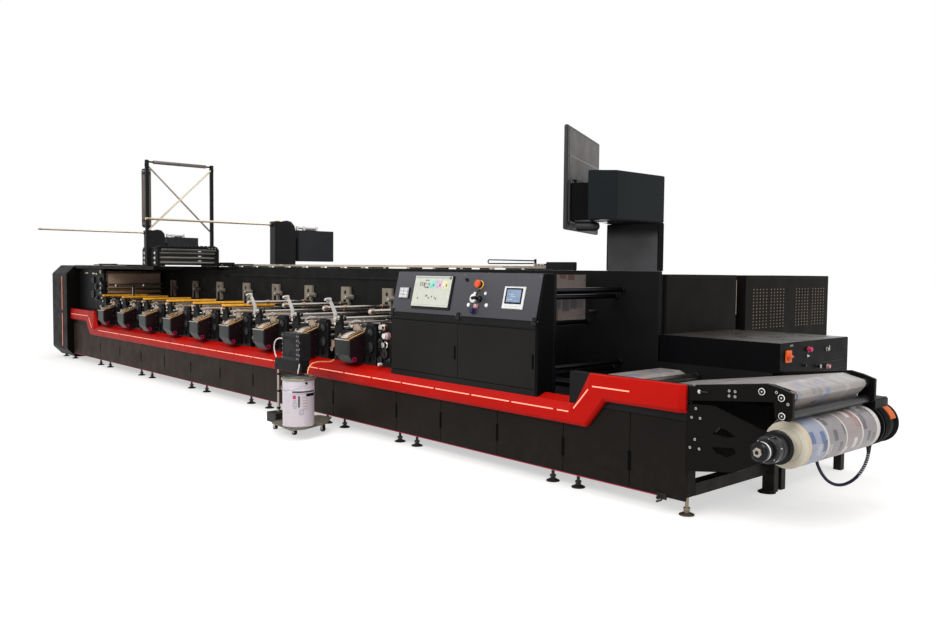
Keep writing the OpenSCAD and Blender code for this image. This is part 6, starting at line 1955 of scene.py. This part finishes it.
class PRESS_OT_rewind(bpy.types.Operator):
    """Outfeed table, printed web, guide rollers and the rewinder with its driven roll and motor"""
    bl_idname = "press.rewind"
    bl_label = "Web and rewinder"

    def execute(self, context):
        p = context.scene.press_web
        black, bright = "rewind_black", "bright_steel"
        m = Maker()
        m.copy("table_sides", "base_black", 0.003)
        m.box(-0.955, -0.004, 0.004, 0.056, 0.8243, 0.8253, "unit_dark", 0.0004)
        m.piece("table_plates", "base_black", "table_sides")

        m = Maker()
        m.copy("web_strips", "web_print", 0)
        m.uv(lambda co: ((co.y - 0.12) / 0.89, co.x - co.z))
        web = m.piece("printed_web", "web_print", "web_strips", smooth=1.0)
        for f in web.data.polygons:
            if (f.center.x - DATUM.x) < -1.6:
                if len(web.data.materials) < 2:
                    web.data.materials.append(finish("bay_print"))
                f.material_index = 1

        m = Maker()
        for (x, z), mat in (((0.5, 0.847), "roll_steel"), ((0.616, 0.821), "roll_steel"),
                ((0.622, 0.715), "chuck_black")):
            m.lathe_y(x, z, 0.0303, 1.0697, [(0, 0), (0, 0.03, "white_plastic"), (0.006, 0.03, "chuck_black"),
                (0.04, 0.03, "chuck_black"), (0.04, 0.0285), (0.9994, 0.0285), (0.9994, 0.03, "chuck_black"),
                (1.0394, 0.03, "chuck_black"), (1.0394, 0)], mat, 28)
        m.piece("outfeed_rollers", "roll_steel", "guide_rollers")
        # Round covers over the rollers' near ends, with a white ring and a bright centre
        m = Maker()
        for x, z in ((0.498, 0.845), (0.618, 0.822), (0.623, 0.719)):
            m.lathe_y(x, z, 0.001, -0.012, [(0, 0), (0, 0.021, "gloss_black"), (0.01, 0.021, "gloss_black"),
                (0.012, 0.0165, "white_plastic"), (0.006, 0.0155), (0.006, 0.006), (0.012, 0.005, bright),
                (0.012, 0, bright)], "gloss_black", 24)
        m.piece("roller_caps", "bright_steel")

        m = Maker()
        m.copy("rewind_beams", black, 0.003)
        m.piece("rewinder_beams", "rewind_black", "rewind_beams")
        m = Maker()
        m.copy("rewind_arms", black, 0.004, 2)
        # Bearing blocks with their clamp on both arms, a gland on the far one
        for y, s in ((0.0003, -1), (1.0997, 1)):
            m.lathe_y(0.6, 0.54, y, y + s * 0.01, [(0, 0), (0, 0.098), (0.006, 0.098), (0.01, 0.092),
                (0.01, 0)], "gloss_black", 36)
        m.lathe_y(0.085, 0.798, 0.0003, -0.014, [(0, 0), (0, 0.014, bright), (0.008, 0.013, bright),
            (0.014, 0.006, bright), (0.014, 0)], bright, 16)
        m.box(0.08, 0.15, -0.01, 0.0003, 0.792, 0.804, "gloss_black", 0.003)
        m.piece("rewinder_arms", "rewind_black", "rewind_arms")
        pts = [((x, 0.0002, z), (0, -1, 0), 0.0085) for x, z in ((0.065, 0.692), (0.036, 0.634),
            (0.096, 0.636), (0.062, 0.502), (0.029, 0.447), (0.094, 0.448), (0.288, 0.825), (0.327, 0.825),
            (0.288, 0.795), (0.327, 0.795), (0.585, 0.85), (0.655, 0.79))]
        pts += [((x, 1.0998, z), (0, 1, 0), 0.0085) for x, z in ((0.065, 0.692), (0.036, 0.634),
            (0.096, 0.636), (0.288, 0.825), (0.327, 0.795))]
        drilled("rewinder_bolts", pts)

        # Chuck: silver hex tip, ringed collar, black hub; runs with the roll
        m = Maker()
        sx, sz = SHAFT
        chuck, white = "chuck_black", "white_plastic"
        m.lathe_y(sx, sz, -0.02, 1.2, [(0, 0), (0, 0.03), (1.219, 0.03), (1.22, 0.028), (1.22, 0)],
            "roll_graphite", 32)
        m.lathe_y(sx, sz, -0.131, -0.02, [(0, 0), (0, 0.066), (0.006, 0.074), (0.01, 0.078), (0.05, 0.078),
            (0.054, 0.072), (0.062, 0.072), (0.066, 0.078), (0.1108, 0.078), (0.1108, 0)], chuck, 40)
        m.lathe_y(sx, sz, -0.215, -0.13, [(0, 0), (0, 0.044), (0.008, 0.055), (0.028, 0.055),
            (0.03, 0.0535, white), (0.044, 0.0535, white), (0.046, 0.055), (0.085, 0.055), (0.085, 0)],
            "gloss_black", 36)
        m.lathe_y(sx, sz, -0.23, -0.214, [(0, 0), (0, 0.013, "gloss_black"), (0.001, 0.024), (0.004, 0.028),
            (0.016, 0.028), (0.016, 0)], "roll_steel", 6)
        for k in range(6):
            a = math.pi * k / 3 + 0.3
            m.bar_y(sx + 0.066 * math.cos(a), sz + 0.066 * math.sin(a), -0.1305, -0.126, 0.0045, bright, 8)
            m.box(-0.004, 0.004, -0.11, -0.09, 0.0765, 0.0785, bright, 0.001,
                turn=Matrix.Translation((sx, 0, sz)) @ Matrix.Rotation(a, 4, "Y"))
        m.piece("rewind_chuck", "rewind_black", "rewind_shaft", body="rewind_spindle")

        # Roll: printed lanes side by side on the cylinder, wound faces, paper core
        m = Maker()
        y0, y1, r = 0.091, 1.041, p.roll_radius
        lanes = [(0.0, "wound_end"), (0.04, "paper_cream"), (0.235, "print_blue"), (0.255, "paper_white"),
            (0.475, "print_grey"), (0.49, "paper_white"), (0.69, "print_red"), (0.71, "paper_white"),
            (0.9, "print_grey"), (0.95, "paper_white")]
        prof = [(0, 0.04)] + [(s, r, lane) for s, lane in lanes] + [(0.95, 0.04)]
        m.lathe_y(sx, sz, y0, y1, prof, "wound_end", 96)
        m.lathe_y(sx, sz, y0 - 0.012, y1 + 0.012, collar(0.031, 0.042, 0.974), "core_board", 36)
        m.uv(lambda co: ((co.y - y0) / 0.95, math.atan2(co.x - sx, -(co.z - sz)) * r))
        m.piece("printed_roll", "wound_film", "rewind_roll", body="rewind_spindle")

        # Motor: stepped round housing with cooling ribs, terminal box and cable gland
        m = Maker()
        cast = "motor_black"
        m.lathe_y(sx, sz, 1.1003, 1.3753, [(0, 0), (0, 0.135), (0.012, 0.135), (0.014, 0.128), (0.03, 0.128),
            (0.032, 0.12), (0.2, 0.12), (0.202, 0.128), (0.216, 0.128), (0.22, 0.124), (0.222, 0.1),
            (0.262, 0.096), (0.275, 0.08), (0.275, 0)], cast, 48)
        m.box(0.49, 0.67, 1.104, 1.3153, 0.64, 0.715, cast, 0.008, 2)
        m.box(0.496, 0.664, 1.11, 1.309, 0.708, 0.7148, "unit_dark", 0.002)
        for x in (0.505, 0.655):
            for y in (1.12, 1.3):
                m.cyl((x, y, 0.712), (x, y, 0.715), 0.005, bright, 8)
        m.cyl((0.6, 1.2003, 0.432), (0.6, 1.2003, 0.39), 0.018, "gloss_black", 20, 0.003)
        m.cyl((0.6, 1.2003, 0.45), (0.6, 1.2003, 0.42), 0.015, "gloss_black", 6)
        m.lathe_y(sx, sz, 1.318, 1.335, collar(0.1255, 0.1345, 0.017), cast, 48)
        arc = [math.radians(a) for a in range(18, 96, 6)]
        shape = [(sx + q * math.cos(a), sz + q * math.sin(a)) for q, side in ((0.1348, arc), (0.11,
            arc[::-1])) for a in side]
        m.plate_y(shape, 1.2225, 1.3, "orange_paint", 0.002)
        m.piece("drive_motor", "motor_black", "rewind_motor")
        ribs().run("motor_ribs", [((sx, 1.142, sz), (0, 1, 0), 1.0)], slot="motor_black", Count=6,
            Step=0.0125, Radius=0.1342, Thickness=0.0045, Sides=48, Body=cast)
        return {"FINISHED"}


class PressPumpProps(bpy.types.PropertyGroup):
    bolt_count: bpy.props.IntProperty(name="Pump bolts",
        description="Bolts down each side of the ink pump's face", default=6, min=2)


class PRESS_OT_pump(bpy.types.Operator):
    """Ink pump on its wheeled trolley, with the pail it feeds from"""
    bl_idname = "press.pump"
    bl_label = "Ink pump trolley"

    def execute(self, context):
        p = context.scene.press_pump
        ox, oy = -3.7, -0.53
        gloss, bright = "gloss_black", "bright_steel"
        at = Vector((ox, oy, 0))
        m = Maker()
        m.copy("pump_trolley", "base_black", 0.0)
        for f in m.bm.faces:
            q = f.calc_center_median()
            x, y, z = q.x - ox, q.y - oy, q.z
            if 0.0995 < z < 0.1125 and -0.36 < x < 0.18 and not (z < 0.1005 and f.normal.z < -0.5):
                f.material_index = m.index("dolly_plate")
            elif abs(x + 0.44) < 0.016 and abs(y - 0.05) < 0.016 and z > 0.2:
                f.material_index = m.index("roll_steel")
        for x, y in ((-0.487, 0.04), (-0.125, 0.032), (-0.106, 0.322), (-0.46, 0.33)):
            c = at + Vector((x, y, 0))
            for s in (-1, 1):
                m.box(c.x - 0.016, c.x + 0.016, c.y + s * 0.0165 - 0.0015, c.y + s * 0.0165 + 0.0015, 0.022,
                    0.08, bright, 0.001)
                m.lathe_y(c.x, 0.03, c.y + s * 0.0116, c.y + s * 0.015,
                    [(0, 0), (0, 0.02), (0.003, 0.016), (0.0034, 0)], "caster_grey", 20)
            m.bar_y(c.x, 0.03, c.y - 0.021, c.y + 0.021, 0.005, bright, 10)
        for z in (0.2, 0.36, 0.52):
            m.lathe(at + Vector((-0.44, 0.05, z)), at + Vector((-0.44, 0.05, z + 0.018)),
                collar(0.013, 0.019, 0.018), gloss, 20)
        m.box(ox - 0.5, ox - 0.372, oy - 0.0312, oy - 0.0295, 0.095, 0.16, gloss, 0.0006)
        m.piece("trolley", "base_black", "pump_trolley")

        # Pail: enamel body with rim, rolled bottom, dark strap, label marks, bail and its lid
        m = Maker()
        lo, hi = (Vector(corner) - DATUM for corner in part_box("ink_pail"))
        c = (lo + hi) / 2
        z0 = 0.1123
        m.lathe((c.x, c.y, z0), (c.x, c.y, 0.5573), [(0, 0), (0, 0.136), (0.004, 0.1415), (0.012, 0.1425),
            (0.018, 0.139), (0.3, 0.141), (0.303, 0.1425), (0.309, 0.1425), (0.312, 0.141), (0.413, 0.1415),
            (0.414, 0.15, "pail_rim"), (0.416, 0.1535, "pail_rim"), (0.431, 0.1535, "pail_rim"),
            (0.433, 0.15, "pail_rim"), (0.434, 0.141, "pail_lid"), (0.441, 0.138, "pail_lid"),
            (0.445, 0.13, "pail_lid"), (0.44, 0.122, "pail_lid"), (0.44, 0.05, "pail_lid"),
            (0.444, 0.046, "pail_lid"), (0.444, 0, "pail_lid")], "pail_enamel", 64)

        def label(a0, a1, za, zb, mat, out=0.0012):
            """A patch lying on the pail's side between two angles and two heights."""
            n = max(2, int(abs(a1 - a0) / 5))
            ang = [math.radians(a0 + (a1 - a0) * k / n) for k in range(n + 1)]
            ring = [(c.x + (0.141 + out) * math.cos(a), c.y + (0.141 + out) * math.sin(a), za) for a in ang]
            ring += [(c.x + 0.138 * math.cos(a), c.y + 0.138 * math.sin(a), za) for a in reversed(ang)]
            m.prism(ring, (0, 0, zb - za), mat)

        label(-53, 40, 0.412, 0.436, "strap_dark")
        label(-2, 40, 0.388, 0.412, gloss, 0.0014)
        # A red label; its glow is painted light
        label(-51, -40, 0.368, 0.398, "switch_red")
        label(-32, -26, 0.293, 0.393, "ui_dark")
        for z in (0.352, 0.34, 0.3, 0.285):
            label(-50, -38, z, z + 0.005, "keypad_grey")
        for z in (0.375, 0.35, 0.325, 0.3, 0.275):
            label(-16, 4, z, z + 0.006, "label_pink")
        for a, z, q in ((-44, 0.317, 0.017), (-20, 0.25, 0.02)):
            for k in range(10):
                b, e = math.pi * k / 5, math.pi * (k + 1) / 5
                za, zb = z + q * math.cos(b), z + q * math.cos(e)
                aa, ab = a + math.degrees(q * math.sin(b) / 0.142), a + math.degrees(q * math.sin(e) / 0.142)
                label(min(aa, ab) - 0.6, max(aa, ab) + 0.6, min(za, zb) - 0.0008, max(za, zb) + 0.0008,
                    "keypad_grey")
        # Bail: wire loop resting against the near side
        ear = [(c.x + 0.1425 * s, c.y - 0.006, 0.505) for s in (-1, 1)]
        for q in ear:
            m.cyl((q[0] - 0.006, q[1], q[2]), (q[0] + 0.006, q[1], q[2]), 0.011, gloss, 14)
        bail = [(c.x + 0.149 * math.cos(a), c.y - 0.006 + 0.1475 * math.sin(a),
            0.505 + 0.06 * math.sin(a)) for a in (math.radians(d) for d in range(-176, -3, 8))]
        m.tube(bail, 0.0025, "bright_plate", 8)
        m.cyl((c.x, c.y, 0.556), (c.x, c.y, 0.5572), 0.022, gloss, 20)
        m.piece("pail", "pail_steel", "ink_pail")

        # Pump: split head with bolted flanges, wire loops on its right side
        m = Maker()
        m.copy("ink_pump", "pump_satin", 0.006, 2)
        x0, x1, yf, z0, z1 = ox - 0.31, ox, oy + 0.01, 0.6803, 0.93
        m.box(x0 + 0.02, x1 - 0.06, yf, yf + 0.003, z0 + 0.03, z1 - 0.03, gloss, 0.001)
        m.box(x0 + 0.035, x0 + 0.15, yf - 0.0008, yf + 0.002, z0 + 0.06, z0 + 0.19, "unit_dark", 0.0006)
        m.lathe_y(x0 + 0.19, z0 + 0.125, yf + 0.002, yf - 0.001,
            [(0, 0), (0, 0.045), (0.002, 0.043), (0.003, 0.03), (0.003, 0)], "unit_dark", 28)
        for k in range(5):
            m.box(x0 + 0.045, x0 + 0.14, yf - 0.0012, yf, z0 + 0.075 + 0.022 * k, z0 + 0.083 + 0.022 * k,
                gloss)
        for z in (0.735, 0.79, 0.85):
            q = [(x1 - 0.06 + 0.056 * math.sin(a), yf + 0.03 - 0.026 * math.sin(a),
                z + 0.024 * math.cos(a)) for a in (math.pi * k / 8 for k in range(9))]
            m.tube(q, 0.0028, bright, 8)
        m.piece("pump_head", "pump_black", "ink_pump")
        n = p.bolt_count
        drilled("pump_bolts", [((x, yf - 0.0001, z0 + 0.022 + (z1 - z0 - 0.044) * k / (n - 1)), (0, -1, 0), r)
            for x, r in ((x0 + 0.012, 0.0055), (x1 - 0.045, 0.0065), (x1 - 0.018, 0.0065)) for k in range(n)])
        return {"FINISHED"}


OPERATORS = [
    PRESS_OT_stage, PRESS_OT_cords, PRESS_OT_finishes, PRESS_OT_base, PRESS_OT_band, PRESS_OT_housing,
    PRESS_OT_pods, PRESS_OT_stations, PRESS_OT_wall, PRESS_OT_tower, PRESS_OT_console, PRESS_OT_column,
    PRESS_OT_cabinets, PRESS_OT_rewind, PRESS_OT_pump]
GROUPS = {
    "press_stage": PressStageProps, "press_base": PressBaseProps, "press_band": PressBandProps,
    "press_housing": PressHousingProps, "press_stations": PressStationProps, "press_tower": PressTowerProps,
    "press_console": PressConsoleProps, "press_column": PressColumnProps, "press_cabinets": PressCabinetProps,
    "press_web": PressWebProps, "press_pump": PressPumpProps}


class PRESS_PT_panel(bpy.types.Panel):
    """Lists the press's pieces and the sizes that go with them"""
    bl_label = "Printing press"
    bl_idname = "PRESS_PT_panel"
    bl_space_type = "VIEW_3D"
    bl_region_type = "UI"
    bl_category = "Press"

    def draw(self, context):
        col = self.layout.column()
        for op in OPERATORS:
            col.operator(op.bl_idname)
        for name, group in GROUPS.items():
            props = getattr(context.scene, name)
            for key in group.__annotations__:
                col.prop(props, key)


def register():
    for c in list(GROUPS.values()) + OPERATORS + [PRESS_PT_panel]:
        bpy.utils.register_class(c)
    for name, c in GROUPS.items():
        setattr(bpy.types.Scene, name, bpy.props.PointerProperty(type=c))


def unregister():
    for name in GROUPS:
        delattr(bpy.types.Scene, name)
    for c in [PRESS_PT_panel] + OPERATORS[::-1] + list(GROUPS.values())[::-1]:
        bpy.utils.unregister_class(c)


def main():
    register()
    for op in OPERATORS:
        space, name = op.bl_idname.split(".")
        if getattr(getattr(bpy.ops, space), name)() != {"FINISHED"}:
            raise RuntimeError(op.bl_idname + " did not finish")


if __name__ == "__main__":
    main()
